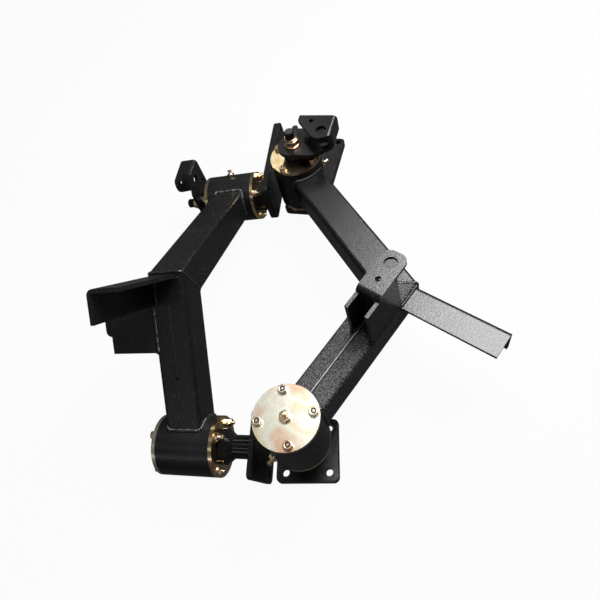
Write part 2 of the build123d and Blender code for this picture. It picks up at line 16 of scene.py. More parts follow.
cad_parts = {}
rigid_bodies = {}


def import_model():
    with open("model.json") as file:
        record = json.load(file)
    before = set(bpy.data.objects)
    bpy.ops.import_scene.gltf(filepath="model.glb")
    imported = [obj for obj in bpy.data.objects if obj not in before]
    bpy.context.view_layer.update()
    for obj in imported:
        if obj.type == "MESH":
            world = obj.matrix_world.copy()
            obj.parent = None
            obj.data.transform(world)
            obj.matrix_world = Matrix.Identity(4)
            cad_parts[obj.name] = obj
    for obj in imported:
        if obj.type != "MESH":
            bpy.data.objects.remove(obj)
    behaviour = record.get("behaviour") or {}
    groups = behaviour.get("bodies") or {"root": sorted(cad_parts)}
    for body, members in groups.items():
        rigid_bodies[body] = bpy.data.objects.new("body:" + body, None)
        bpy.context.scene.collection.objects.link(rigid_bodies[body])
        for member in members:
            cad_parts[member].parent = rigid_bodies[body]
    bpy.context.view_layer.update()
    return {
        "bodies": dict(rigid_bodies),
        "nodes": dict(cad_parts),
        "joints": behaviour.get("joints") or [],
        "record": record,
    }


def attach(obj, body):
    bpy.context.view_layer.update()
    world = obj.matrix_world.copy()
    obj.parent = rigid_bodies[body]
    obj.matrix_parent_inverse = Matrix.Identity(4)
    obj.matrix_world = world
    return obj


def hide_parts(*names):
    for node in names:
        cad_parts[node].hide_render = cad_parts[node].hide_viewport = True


LOG = logging.getLogger("pivot_arms")
TAU = 2.0 * math.pi
HEX_POINT = math.cos(math.pi / 6)  # Distance to a flat over distance to a corner, in a hexagon.
APEX = (0.174, 0.233)  # Bend of the arm's tubes, in the arm's own frame.

Colour = tuple[float, float, float]
Socket = bpy.types.NodeSocket


class Finish(Enum):
    """Finishes named as the record's material slots."""

    BLACK_COAT = "black_coat"
    YELLOW_ZINC = "yellow_zinc"
    BEARING_STEEL = "bearing_steel"
    PLATED_NUT = "plated_nut"
    SEAL_RUBBER = "seal_rubber"


class Variant(Enum):
    """Second looks of a finish, by what lies under it or how thick it is, and two of painted light:
    a painted highlight and a painted shade.
    """

    OVER_WELD = "over_weld"
    ON_TURNED_STEEL = "on_turned_steel"
    COARSE_SPRAY = "coarse_spray"
    FINE_SPRAY = "fine_spray"
    SMOOTH_SPRAY = "smooth_spray"
    UNRUBBED_COAT = "unrubbed_coat"
    # A light grey coat as a painted highlight on a seam ridge.
    PAINTED_HIGHLIGHT = "highlight_ridge"
    # A near-black dull coat as painted shade, on a seam and in screw heads.
    PAINTED_SHADE = "painted_shading"
    PALE_FILM = "pale_film"
    ROSE_FILM = "rose_film"


class Pivot(Enum):
    """The two ends of an arm."""

    NEAR = "near"
    FAR = "far"


# ------------------------------------------------------------------ surfaces


def grid_faces(rows: int, columns: int, close_rows: bool, close_columns: bool) -> np.ndarray:
    """Quads of a grid of points numbered row by row.

    Args:
        rows: Number of rows of points.
        columns: Number of points in a row.
        close_rows: Whether the last row joins the first.
        close_columns: Whether the last point of a row joins its first.

    Returns:
        An array of quads, (i, j), (i, j+1), (i+1, j+1), (i+1, j), counted modulo the grid.
    """
    i = np.arange(rows if close_rows else rows - 1)
    j = np.arange(columns if close_columns else columns - 1)
    i0, j0 = np.meshgrid(i, j, indexing="ij")
    i1 = (i0 + 1) % rows
    j1 = (j0 + 1) % columns
    corners = [i0 * columns + j0, i0 * columns + j1, i1 * columns + j1, i1 * columns + j0]
    return np.stack(corners, -1).reshape(-1, 4)


def end_fans(rows: int, around: int) -> list[np.ndarray]:
    """Polygons that close the first and the last of some rings of points."""
    ring = np.arange(around)
    return [ring[::-1], (rows - 1) * around + ring]


@dataclass
class Surface:
    """A closed surface as plain arrays, in metres.

    Attributes:
        points: Vertices, one row each.
        quads: Four-sided faces.
        fans: Polygons that close the open ends.
    """

    points: np.ndarray
    quads: np.ndarray
    fans: list[np.ndarray] = field(default_factory=list)

    def moved(self, frame: np.ndarray) -> "Surface":
        """The same surface carried by a 4 by 4 matrix: p' = R p + t."""
        return Surface(self.points @ frame[:3, :3].T + frame[:3, 3], self.quads, self.fans)


def joined(surfaces: Sequence[Surface]) -> Surface:
    """One surface that holds several.

    Args:
        surfaces: The surfaces, which stay separate shells.

    Returns:
        Their points in a row, with face numbers shifted by the points before them.
    """
    shift = 0
    points, quads, fans = [], [], []
    for surface in surfaces:
        points.append(surface.points)
        quads.append(surface.quads + shift)
        fans.extend(fan + shift for fan in surface.fans)
        shift += len(surface.points)
    return Surface(np.concatenate(points), np.concatenate(quads), fans)


def turned_profile(rings: Sequence[Sequence[float]] | np.ndarray, around: int = 48) -> Surface:
    """Solid of revolution whose rings may be cut by a hexagon.

    Ring k has radius r_k at height z_k.  Where its flat distance a_k is above zero the radius
    becomes min(r_k, a_k / cos(w)), with w the angle to the middle of the nearest flat.

    Args:
        rings: Radius, height and flat distance of each ring, with zero for a round ring.  The
            first and the last close the ends.
        around: Points around a ring.

    Returns:
        The closed surface about local Z.
    """
    radii, heights, flats = (column[:, None] for column in np.asarray(rings, float).T)
    angle = np.arange(around) * TAU / around
    off_middle = (angle + math.pi / 6) % (math.pi / 3) - math.pi / 6
    radius = np.where(flats > 0, np.minimum(radii, flats / np.cos(off_middle)), radii)
    height = np.broadcast_to(heights, radius.shape)
    points = np.stack([radius * np.cos(angle), radius * np.sin(angle), height], -1)
    quads = grid_faces(len(radii), around, False, True)
    return Surface(points.reshape(-1, 3), quads, end_fans(len(radii), around))


def threaded_rod(radius: float, low: float, high: float, pitch: float, depth: float) -> Surface:
    """Rod with a helical V thread, r = R - d |2 frac(z/p - a/2pi) - 1|, that thins at the tip.

    Args:
        radius: Crest radius.
        low: Height of the first turn.
        high: Height of the tip.
        pitch: Height of one turn.
        depth: Crest to root.

    Returns:
        The closed rod about local Z.
    """
    around, rows_per_turn = 24, 6
    tip = radius - 1.6 * depth
    rows = max(4, int(round((high - low) / pitch * rows_per_turn)) + 1)
    a, z = np.meshgrid(np.arange(around) * TAU / around, np.linspace(low, high, rows))
    wave = np.abs(2.0 * ((z / pitch - a / TAU) % 1.0) - 1.0)
    fade = np.clip((high - z) / (1.5 * depth), 0.0, 1.0)
    r = (radius - depth * wave) * fade + tip * (1.0 - fade)
    points = np.stack([r * np.cos(a), r * np.sin(a), z], -1).reshape(-1, 3)
    return Surface(points, grid_faces(rows, around, False, True), end_fans(rows, around))


def read_between(stations: np.ndarray, knots: np.ndarray, values: np.ndarray) -> np.ndarray:
    """Rows of values at the stations, on straight lines between the knots."""
    return np.stack([np.interp(stations, knots, column) for column in values.T], -1)


def unit_rows(rows: np.ndarray) -> np.ndarray:
    """Rows scaled to length one."""
    return rows / np.linalg.norm(rows, axis=1)[:, None]


def swept_bead(
    path: np.ndarray,
    normals: np.ndarray,
    size: float,
    closed: bool,
    ripple: float = 0.30,
    pitch: float = 0.0042,
) -> Surface:
    """Weld bead: a flattened round section carried along a path, swelling at every stitch.

    With s the length along the path, the half width is w(s) = size (1 + ripple c(s)), where
    c(s) = |sin(pi s / pitch)| - 0.5, times two slow waves for the hand's unsteadiness.  The
    height is 0.8 w(s).  The section's middle leans ahead by a third of a stitch, which gives
    the crescents of stacked stitches, and an open bead tapers at its ends.

    Args:
        path: Points along the path.
        normals: Outward direction of the bead at each point.
        size: Half width of the bead.
        closed: Whether the path returns to its start.
        ripple: Share by which the bead swells.
        pitch: Length of one stitch.

    Returns:
        The closed bead.
    """
    around, rows_per_stitch, flatness, lean_share = 12, 6, 0.8, 0.35
    taper, least_taper = 0.8 * size, 0.15
    ahead = np.roll(path, -1, 0) - path
    if not closed:
        ahead[-1] = ahead[-2]
    length = np.linalg.norm(ahead, axis=1)
    total = length.sum() if closed else length[:-1].sum()
    knots = np.concatenate([[0.0], np.cumsum(length)[:-1]])
    count = max(12, int(total / pitch * rows_per_stitch))
    stations = np.linspace(0.0, total, count, endpoint=not closed)
    if closed:
        knots = np.append(knots, total)
        path, normals = np.vstack([path, path[:1]]), np.vstack([normals, normals[:1]])
    centre = read_between(stations, knots, path)
    out = read_between(stations, knots, normals)
    if closed:
        along = np.roll(centre, -1, 0) - np.roll(centre, 1, 0)
    else:
        along = np.gradient(centre, axis=0)
    along = unit_rows(along)
    out = unit_rows(out - (out * along).sum(1)[:, None] * along)
    side = np.cross(along, out)
    swell = size * (1.0 + ripple * (np.abs(np.sin(math.pi * stations / pitch)) - 0.5))
    slow_wave, slower_wave = np.sin(stations * 410.0), np.sin(stations * 173.0 + 1.0)
    swell = swell * (1.0 + 0.07 * slow_wave + 0.05 * slower_wave)
    if not closed:
        fade = np.clip(np.minimum(stations, total - stations) / taper, least_taper, 1.0)
        swell = swell * np.sqrt(fade)
    angle = np.arange(around) * TAU / around
    lean = lean_share * pitch * np.maximum(np.sin(angle), 0.0)
    points = (
        centre[:, None, :]
        + side[:, None, :] * (swell[:, None] * np.cos(angle))[..., None]
        + out[:, None, :] * (flatness * swell[:, None] * np.sin(angle))[..., None]
        + along[:, None, :] * lean[None, :, None]
    ).reshape(-1, 3)
    fans = [] if closed else end_fans(count, around)
    return Surface(points, grid_faces(count, around, closed, True), fans)


def rounded_square(half: float, corner: float, per_side: int = 8) -> tuple[np.ndarray, np.ndarray]:
    """Outline of a square tube and its outward normals.

    The outline is the square of half width (half - corner) pushed out by corner: for a
    direction t the point is clamp(core) + corner (cos t, sin t), swept corner by corner.

    Args:
        half: Half the outside width.
        corner: Outside corner radius.
        per_side: Points on each corner arc.

    Returns:
        The points and the normals, both N by 2.
    """
    arc = np.linspace(0.0, math.pi / 2, per_side)
    turn = np.concatenate([arc + q * math.pi / 2 for q in range(4)])
    sign = np.repeat(np.array([[1, 1], [-1, 1], [-1, -1], [1, -1]], float), per_side, 0)
    normal = np.stack([np.cos(turn), np.sin(turn)], -1)
    return sign * (half - corner) + corner * normal, normal


def refined(
    path: np.ndarray, normals: np.ndarray, step: float = 0.0015
) -> tuple[np.ndarray, np.ndarray]:
    """Closed path resampled so that its points lie about one step apart.

    Args:
        path: Points of the path.
        normals: Outward direction at each point.
        step: Distance between the new points.

    Returns:
        The new points and their outward directions, read on straight lines between the old.
    """
    loop = np.vstack([path, path[:1]])
    lift = np.vstack([normals, normals[:1]])
    lengths = np.linalg.norm(np.diff(loop, axis=0), axis=1)
    knots = np.concatenate([[0.0], np.cumsum(lengths)])
    stations = np.linspace(0.0, knots[-1], int(knots[-1] / step) + 1)[:-1]
    return read_between(stations, knots, loop), read_between(stations, knots, lift)


def placed(
    origin: Sequence[float], x_axis: Sequence[float], z_axis: Sequence[float]
) -> np.ndarray:
    """Frame set up by two directions at right angles.

    Args:
        origin: Where the frame sits.
        x_axis: Direction of its X, of any length.
        z_axis: Direction of its Z, of any length.

    Returns:
        The 4 by 4 matrix with columns x, z cross x, z and the origin.
    """
    x = np.asarray(x_axis, float)
    z = np.asarray(z_axis, float)
    frame = np.eye(4)
    frame[:3, 0] = x / np.linalg.norm(x)
    frame[:3, 2] = z / np.linalg.norm(z)
    frame[:3, 1] = np.cross(frame[:3, 2], frame[:3, 0])
    frame[:3, 3] = origin
    return frame


def shifted(x: float = 0.0, y: float = 0.0, z: float = 0.0, turn: float = 0.0) -> np.ndarray:
    """Frame moved, and turned about Z.

    Args:
        x: Metres along X.
        y: Metres along Y.
        z: Metres along Z.
        turn: Degrees about Z.

    Returns:
        The 4 by 4 matrix.
    """
    c, s = math.cos(math.radians(turn)), math.sin(math.radians(turn))
    frame = np.eye(4)
    frame[:2, :2] = [[c, -s], [s, c]]
    frame[:3, 3] = (x, y, z)
    return frame


def quarter_left(direction: np.ndarray) -> np.ndarray:
    """Plane direction a quarter turn to the left of another: (-y, x)."""
    return np.array([-direction[1], direction[0]])


# ------------------------------------------------------------------ shader wiring


class Wiring:
    """Short ways to add and link nodes in one tree."""

    # A Mix node has sockets of one name for every type of data, so its colours go by number.
    MIX_COLOURS = (6, 7)
    MIX_RESULT = 2

    def __init__(self, tree: bpy.types.NodeTree) -> None:
        """Keeps the tree that is being wired."""
        self.tree = tree

    def node(self, kind: str, **values: object) -> bpy.types.Node:
        """Adds a node.

        Args:
            kind: Blender's name of the type of node.
            values: Attributes to set on it.

        Returns:
            The new node.
        """
        made = self.tree.nodes.new(kind)
        for key, value in values.items():
            setattr(made, key, value)
        return made

    def link(self, source: Socket, target: Socket) -> None:
        """Links one socket to another."""
        self.tree.links.new(source, target)

    def feed(self, value: Socket | float | Sequence[float], target: Socket) -> None:
        """Links a socket to the target, or sets the target to a plain value.

        Args:
            value: A socket, a number, or a colour without its alpha.
            target: The socket that gets it.
        """
        if isinstance(value, bpy.types.NodeSocket):
            self.link(value, target)
        elif isinstance(value, (int, float)):
            target.default_value = value
        else:
            target.default_value = (*value, 1.0)

    def math(
        self, operation: str, first: Socket | float, second: Socket | float, clamp: bool = False
    ) -> Socket:
        """Adds a Math node.

        Args:
            operation: Blender's name of the operation.
            first: First operand.
            second: Second operand.
            clamp: Whether the result is kept between 0 and 1.

        Returns:
            The result.
        """
        made = self.node("ShaderNodeMath", operation=operation, use_clamp=clamp)
        self.feed(first, made.inputs[0])
        self.feed(second, made.inputs[1])
        return made.outputs[0]

    def swing(self, value: Socket, share: float) -> Socket:
        """Share of how far a value between 0 and 1 lies from its middle."""
        return self.math("MULTIPLY", self.math("SUBTRACT", value, 0.5), share)

    def spread(self, value: Socket, low: float, high: float) -> Socket:
        """Adds a smooth step.

        Args:
            value: What is looked at.
            low: Where the step starts, at 0.
            high: Where the step ends, at 1.

        Returns:
            The step, between 0 and 1.
        """
        made = self.node("ShaderNodeMapRange", interpolation_type="SMOOTHSTEP")
        self.link(value, made.inputs["Value"])
        made.inputs["From Min"].default_value = low
        made.inputs["From Max"].default_value = high
        return made.outputs["Result"]

    def noise(
        self, scale: Socket | float, detail: float, rough: float, offset: float = 0.0
    ) -> Socket:
        """Adds noise on Object coordinates.

        Args:
            scale: One over the width of a feature, in metres.
            detail: Number of finer layers.
            rough: How strong the finer layers are.
            offset: Shift of the pattern, so that two patterns don't match.

        Returns:
            The noise, between 0 and 1.
        """
        where = self.node("ShaderNodeTexCoord").outputs["Object"]
        if offset:
            shift = self.node("ShaderNodeMapping")
            shift.inputs["Location"].default_value = (offset, offset * 1.7, offset * 0.6)
            self.link(where, shift.inputs["Vector"])
            where = shift.outputs["Vector"]
        made = self.node("ShaderNodeTexNoise")
        self.link(where, made.inputs["Vector"])
        self.feed(scale, made.inputs["Scale"])
        made.inputs["Detail"].default_value = detail
        made.inputs["Roughness"].default_value = rough
        return made.outputs["Fac"]

    def colours(self, value: Socket, stops: Sequence[tuple[float, Sequence[float]]]) -> Socket:
        """Adds a colour ramp.

        Args:
            value: Place on the ramp, between 0 and 1.
            stops: Place and colour of each stop.

        Returns:
            The colour.
        """
        made = self.node("ShaderNodeValToRGB")
        ramp = made.color_ramp
        while len(ramp.elements) < len(stops):
            ramp.elements.new(0.5)
        for element, (position, colour) in zip(ramp.elements, stops):
            element.position = position
            element.color = (*colour, 1.0)
        self.link(value, made.inputs["Fac"])
        return made.outputs["Color"]

    def mixed(
        self, factor: Socket, first: Socket | Sequence[float], second: Socket | Sequence[float]
    ) -> Socket:
        """Adds a mix of two colours.

        Args:
            factor: Share of the second colour.
            first: First colour.
            second: Second colour.

        Returns:
            The mixed colour.
        """
        made = self.node("ShaderNodeMix", data_type="RGBA")
        self.link(factor, made.inputs["Factor"])
        for slot, value in zip(self.MIX_COLOURS, (first, second)):
            self.feed(value, made.inputs[slot])
        return made.outputs[self.MIX_RESULT]

    def bump(
        self, height: Socket, strength: float, distance: float, shader: bpy.types.Node
    ) -> None:
        """Adds relief to a shader.

        Args:
            height: Height, between 0 and 1.
            strength: Strength of the Bump node.
            distance: Depth of the relief in metres.
            shader: Principled shader that gets the normal.
        """
        made = self.node("ShaderNodeBump")
        made.inputs["Strength"].default_value = strength
        made.inputs["Distance"].default_value = distance
        self.link(height, made.inputs["Height"])
        self.link(made.outputs["Normal"], shader.inputs["Normal"])


def node_group(
    name: str, inputs: dict[str, float], outputs: Sequence[str]
) -> tuple[Wiring, bpy.types.NodeOutputs, bpy.types.NodeInputs]:
    """Empty shader node group with named float inputs and outputs.

    Args:
        name: Name of the group.
        inputs: Input names and their defaults.
        outputs: Output names.

    Returns:
        The wiring of the group, the sockets that it is given and the sockets that it fills.
    """
    tree = bpy.data.node_groups.new(name, "ShaderNodeTree")
    for label, value in inputs.items():
        socket = tree.interface.new_socket(label, in_out="INPUT", socket_type="NodeSocketFloat")
        socket.default_value = value
    for label in outputs:
        tree.interface.new_socket(label, in_out="OUTPUT", socket_type="NodeSocketFloat")
    w = Wiring(tree)
    return w, w.node("NodeGroupInput").outputs, w.node("NodeGroupOutput").inputs


def build_edge_wear() -> None:
    """Group for worn edges: 1 - dot(rounded normal, face normal), broken up by noise.

    Edge is the rub along sharp edges and Chips are flecks off the faces, in loose swarms.
    """
    w, given, filled = node_group(
        "edge_wear", {"Radius": 0.001, "Amount": 1.0, "Patchiness": 0.5}, ("Edge", "Chips")
    )
    rounded = w.node("ShaderNodeBevel", samples=6)
    w.link(given["Radius"], rounded.inputs["Radius"])
    dot = w.node("ShaderNodeVectorMath", operation="DOT_PRODUCT")
    w.link(rounded.outputs["Normal"], dot.inputs[0])
    w.link(w.node("ShaderNodeNewGeometry").outputs["Normal"], dot.inputs[1])
    edge = w.spread(w.math("SUBTRACT", 1.0, dot.outputs["Value"]), 0.01, 0.16)
    patch = w.spread(w.noise(95.0, detail=4.0, rough=0.6), 0.42, 0.66)
    kept = w.math("MULTIPLY", patch, given["Patchiness"])
    clear = w.math("ADD", w.math("SUBTRACT", 1.0, given["Patchiness"]), kept)
    strength = w.math("MULTIPLY", given["Amount"], clear)
    w.link(w.math("MULTIPLY", edge, strength, clamp=True), filled["Edge"])
    fleck = w.spread(w.noise(420.0, detail=2.0, rough=0.7, offset=3.1), 0.66, 0.72)
    swarm = w.spread(w.noise(26.0, detail=2.0, rough=0.5, offset=5.0), 0.5, 0.72)
    w.link(w.math("MULTIPLY", fleck, swarm, clamp=True), filled["Chips"])


def build_orange_peel() -> None:
    """Group for a sprayed coat: dimples, grains whose light tops are painted sparkle, a slow change
    of gloss, and dust.
    """
    w, given, filled = node_group(
        "orange_peel", {"Dimples": 700.0, "Clouds": 14.0}, ("Height", "Gloss", "Dust", "Grain")
    )
    fine = w.noise(given["Dimples"], detail=3.0, rough=0.8)
    coarse = w.noise(210.0, detail=2.0, rough=0.5, offset=1.3)
    w.link(w.math("ADD", fine, w.math("MULTIPLY", coarse, 0.2)), filled["Height"])
    w.link(w.noise(given["Clouds"], detail=3.0, rough=0.55, offset=2.2), filled["Gloss"])
    specks = w.noise(900.0, detail=1.0, rough=0.5, offset=4.0)
    w.link(w.spread(specks, 0.63, 0.74), filled["Dust"])
    sparkle_grains = w.noise(given["Dimples"], detail=3.0, rough=0.8, offset=5.1)
    w.link(w.spread(sparkle_grains, 0.44, 0.66), filled["Grain"])


def build_chromate_film() -> None:
    """Group for treated metal: slow bands of the film, a fine grain and small stains."""
    w, given, filled = node_group(
        "chromate_film", {"Bands": 26.0, "Grain": 600.0}, ("Film", "Grain", "Stain")
    )
    w.link(w.noise(given["Bands"], detail=2.0, rough=0.5, offset=0.7), filled["Film"])
    w.link(w.noise(given["Grain"], detail=3.0, rough=0.7, offset=1.9), filled["Grain"])
    spots = w.noise(60.0, detail=5.0, rough=0.65, offset=6.3)
    w.link(w.spread(spots, 0.58, 0.76), filled["Stain"])


def blank_material(name: str) -> tuple[bpy.types.Material, Wiring, bpy.types.Node]:
    """New node material with one Principled shader.

    Args:
        name: Name of the material.

    Returns:
        The material, its wiring and the shader node.
    """
    material = bpy.data.materials.new(name)
    material.use_nodes = True
    material.node_tree.nodes.clear()
    w = Wiring(material.node_tree)
    output = w.node("ShaderNodeOutputMaterial")
    shader = w.node("ShaderNodeBsdfPrincipled")
    w.link(shader.outputs["BSDF"], output.inputs["Surface"])
    return material, w, shader


def group_node(w: Wiring, name: str, **values: float) -> bpy.types.NodeOutputs:
    """Places a shared group in a material.

    Args:
        w: Wiring of the material.
        name: Name of the group.
        values: The material's own values for the group's inputs.

    Returns:
        The group's outputs.
    """
    made = w.node("ShaderNodeGroup", node_tree=bpy.data.node_groups[name])
    for key, value in values.items():
        made.inputs[key].default_value = value
    return made.outputs


def scaled(colour: Sequence[float], share: float) -> list[float]:
    """Colour made lighter or darker by a factor."""
    return [part * share for part in colour]


# ------------------------------------------------------------------ finishes


@dataclass(frozen=True)
class PowderCoat:
    """Satin black powder coat over shot-blasted steel.

    Attributes:
        name: Name of the material.
        coat: Colour of the coat.
        rubbed: Colour of the coat where edges are rubbed.
        bare: Colour where the coat is chipped away.
        roughness: Roughness of the coat.
        peel: Height of the dimples, in metres.
        edge: Share of the edge that shows rubbed.
        grain: Brightness painted on the tops of the coat's grains as sparkle of the lamps, and the
            share by which the grains roughen the coat.
        dust: Colour of the dust.
        dust_cover: Share of the coat that a speck of dust hides.
        dust_roughness: Roughness that the dust adds.
        chip_cover: Share of the coat that a chip takes away.
        cloud_tones: Darkest and lightest share of the coat's colour.
        gloss_swing: How much the roughness drifts.
    """

    name: str = "satin_black_powder_coat"
    coat: Colour = (0.0042, 0.0043, 0.0047)
    rubbed: Colour = (0.035, 0.035, 0.036)
    bare: Colour = (0.30, 0.30, 0.29)
    roughness: float = 0.17
    peel: float = 0.0008
    edge: float = 0.35
    grain: float = 0.008
    dust: Colour = (0.16, 0.16, 0.155)
    dust_cover: float = 0.12
    dust_roughness: float = 0.2
    chip_cover: float = 0.8
    cloud_tones: tuple[float, float] = (0.75, 1.45)
    gloss_swing: float = 0.28

    def build(self) -> bpy.types.Material:
        """Material with peel, rubbed edges, small chips and a little dust.

        Returns:
            The material.
        """
        material, w, shader = blank_material(self.name)
        wear = group_node(w, "edge_wear", Radius=0.0012, Amount=self.edge, Patchiness=0.55)
        spray = group_node(w, "orange_peel", Dimples=360.0, Clouds=13.0)
        dark, light = (scaled(self.coat, share) for share in self.cloud_tones)
        tone = w.colours(spray["Gloss"], [(0.3, dark), (0.7, light)])
        # Painted sparkle: light flecks on the grains' tops stand in for the lamps' glints off the
        # coat.
        sparkled = w.mixed(spray["Grain"], tone, [self.grain] * 3)
        dusted = w.mixed(w.math("MULTIPLY", spray["Dust"], self.dust_cover), sparkled, self.dust)
        rubbed = w.mixed(wear["Edge"], dusted, self.rubbed)
        chipped = w.mixed(w.math("MULTIPLY", wear["Chips"], self.chip_cover), rubbed, self.bare)
        w.link(chipped, shader.inputs["Base Color"])
        gloss = w.math("ADD", w.swing(spray["Gloss"], self.gloss_swing), self.roughness)
        dry = w.math("MULTIPLY", spray["Dust"], self.dust_roughness)
        grit = w.math("ADD", w.swing(spray["Grain"], self.grain), dry)
        w.link(w.math("ADD", gloss, grit), shader.inputs["Roughness"])
        w.bump(spray["Height"], 0.75, self.peel, shader)
        return material


def finish_metal(
    w: Wiring,
    shader: bpy.types.Node,
    grain: Socket,
    roughness: tuple[float, float],
    relief: tuple[float, float],
) -> None:
    """Makes a shader metallic, with a grain in its roughness and its relief.

    Args:
        w: Wiring of the material.
        shader: Its Principled shader.
        grain: The grain, between 0 and 1.
        roughness: Least roughness, and what the grain adds to it.
        relief: Strength and depth in metres of the relief.
    """
    least, added = roughness
    shader.inputs["Metallic"].default_value = 1.0
    w.link(w.math("ADD", w.math("MULTIPLY", grain, added), least), shader.inputs["Roughness"])
    w.bump(grain, *relief, shader)


@dataclass(frozen=True)
class YellowZinc:
    """Zinc plate with a yellow chromate film.

    Attributes:
        name: Name of the material.
        pale: Thin film colour.
        gold: Common film colour.
        rose: Thick film colour.
        roughness: Roughness of the plate.
        stain: Colour of the stains.
        stain_cover: Share of the film that a stain hides.
        bright: Colour of the rubbed edges.
    """

    name: str = "yellow_chromated_zinc"
    pale: Colour = (0.95, 0.84, 0.56)
    gold: Colour = (0.84, 0.60, 0.29)
    rose: Colour = (0.74, 0.38, 0.24)
    roughness: float = 0.16
    stain: Colour = (0.42, 0.28, 0.12)
    stain_cover: float = 0.45
    bright: Colour = (0.90, 0.86, 0.70)

    def build(self) -> bpy.types.Material:
        """Metal with drifting film colours, fine grain and darker stains.

        Returns:
            The material.
        """
        material, w, shader = blank_material(self.name)
        film = group_node(w, "chromate_film", Bands=17.0, Grain=650.0)
        wear = group_node(w, "edge_wear", Radius=0.0006, Amount=0.7, Patchiness=0.4)
        stops = [(0.30, self.pale), (0.45, self.gold), (0.54, self.pale), (0.66, self.rose)]
        tone = w.colours(film["Film"], stops)
        stained = w.mixed(w.math("MULTIPLY", film["Stain"], self.stain_cover), tone, self.stain)
        w.link(w.mixed(wear["Edge"], stained, self.bright), shader.inputs["Base Color"])
        finish_metal(w, shader, film["Grain"], (self.roughness - 0.08, 0.22), (0.35, 0.00008))
        return material


@dataclass(frozen=True)
class BareSteel:
    """Ground or plated steel with fine grain.

    Attributes:
        name: Name of the material.
        light: Lighter tone.
        dark: Darker tone.
        roughness: Roughness of the metal.
        grime_cover: Share of the metal that a dark spot hides.
        bright: Colour of the rubbed edges.
    """

    name: str
    light: Colour
    dark: Colour
    roughness: float
    grime_cover: float = 0.4
    bright: Colour = (0.92, 0.92, 0.90)

    def build(self) -> bpy.types.Material:
        """Metal whose tone and roughness drift, with bright edges.

        Returns:
            The material.
        """
        material, w, shader = blank_material(self.name)
        film = group_node(w, "chromate_film", Bands=70.0, Grain=900.0)
        wear = group_node(w, "edge_wear", Radius=0.0005, Amount=0.8, Patchiness=0.3)
        tone = w.colours(film["Film"], [(0.35, self.dark), (0.62, self.light)])
        spots = w.math("MULTIPLY", film["Stain"], self.grime_cover)
        grimy = w.mixed(spots, tone, scaled(self.dark, 0.45))
        w.link(w.mixed(wear["Edge"], grimy, self.bright), shader.inputs["Base Color"])
        finish_metal(w, shader, film["Grain"], (self.roughness - 0.06, 0.2), (0.3, 0.00006))
        return material


@dataclass(frozen=True)
class NitrileRubber:
    """Smooth black seal rubber.

    Attributes:
        name: Name of the material.
        colour: Colour of the rubber.
        least_roughness: Roughness where it is greasiest.
        bloom_roughness: Roughness that the bloom adds.
    """

    name: str = "nitrile_rubber"
    colour: Colour = (0.02, 0.02, 0.021)
    least_roughness: float = 0.4
    bloom_roughness: float = 0.3

    def build(self) -> bpy.types.Material:
        """Dull dark rubber with a greasy bloom.

        Returns:
            The material.
        """
        material, w, shader = blank_material(self.name)
        skin = group_node(w, "orange_peel", Dimples=1400.0, Clouds=60.0)
        tone = w.colours(skin["Gloss"], [(0.3, self.colour), (0.75, scaled(self.colour, 2.2))])
        w.link(tone, shader.inputs["Base Color"])
        bloom = w.math("MULTIPLY", skin["Gloss"], self.bloom_roughness)
        w.link(w.math("ADD", bloom, self.least_roughness), shader.inputs["Roughness"])
        w.bump(skin["Height"], 0.3, 0.00008, shader)
        return material


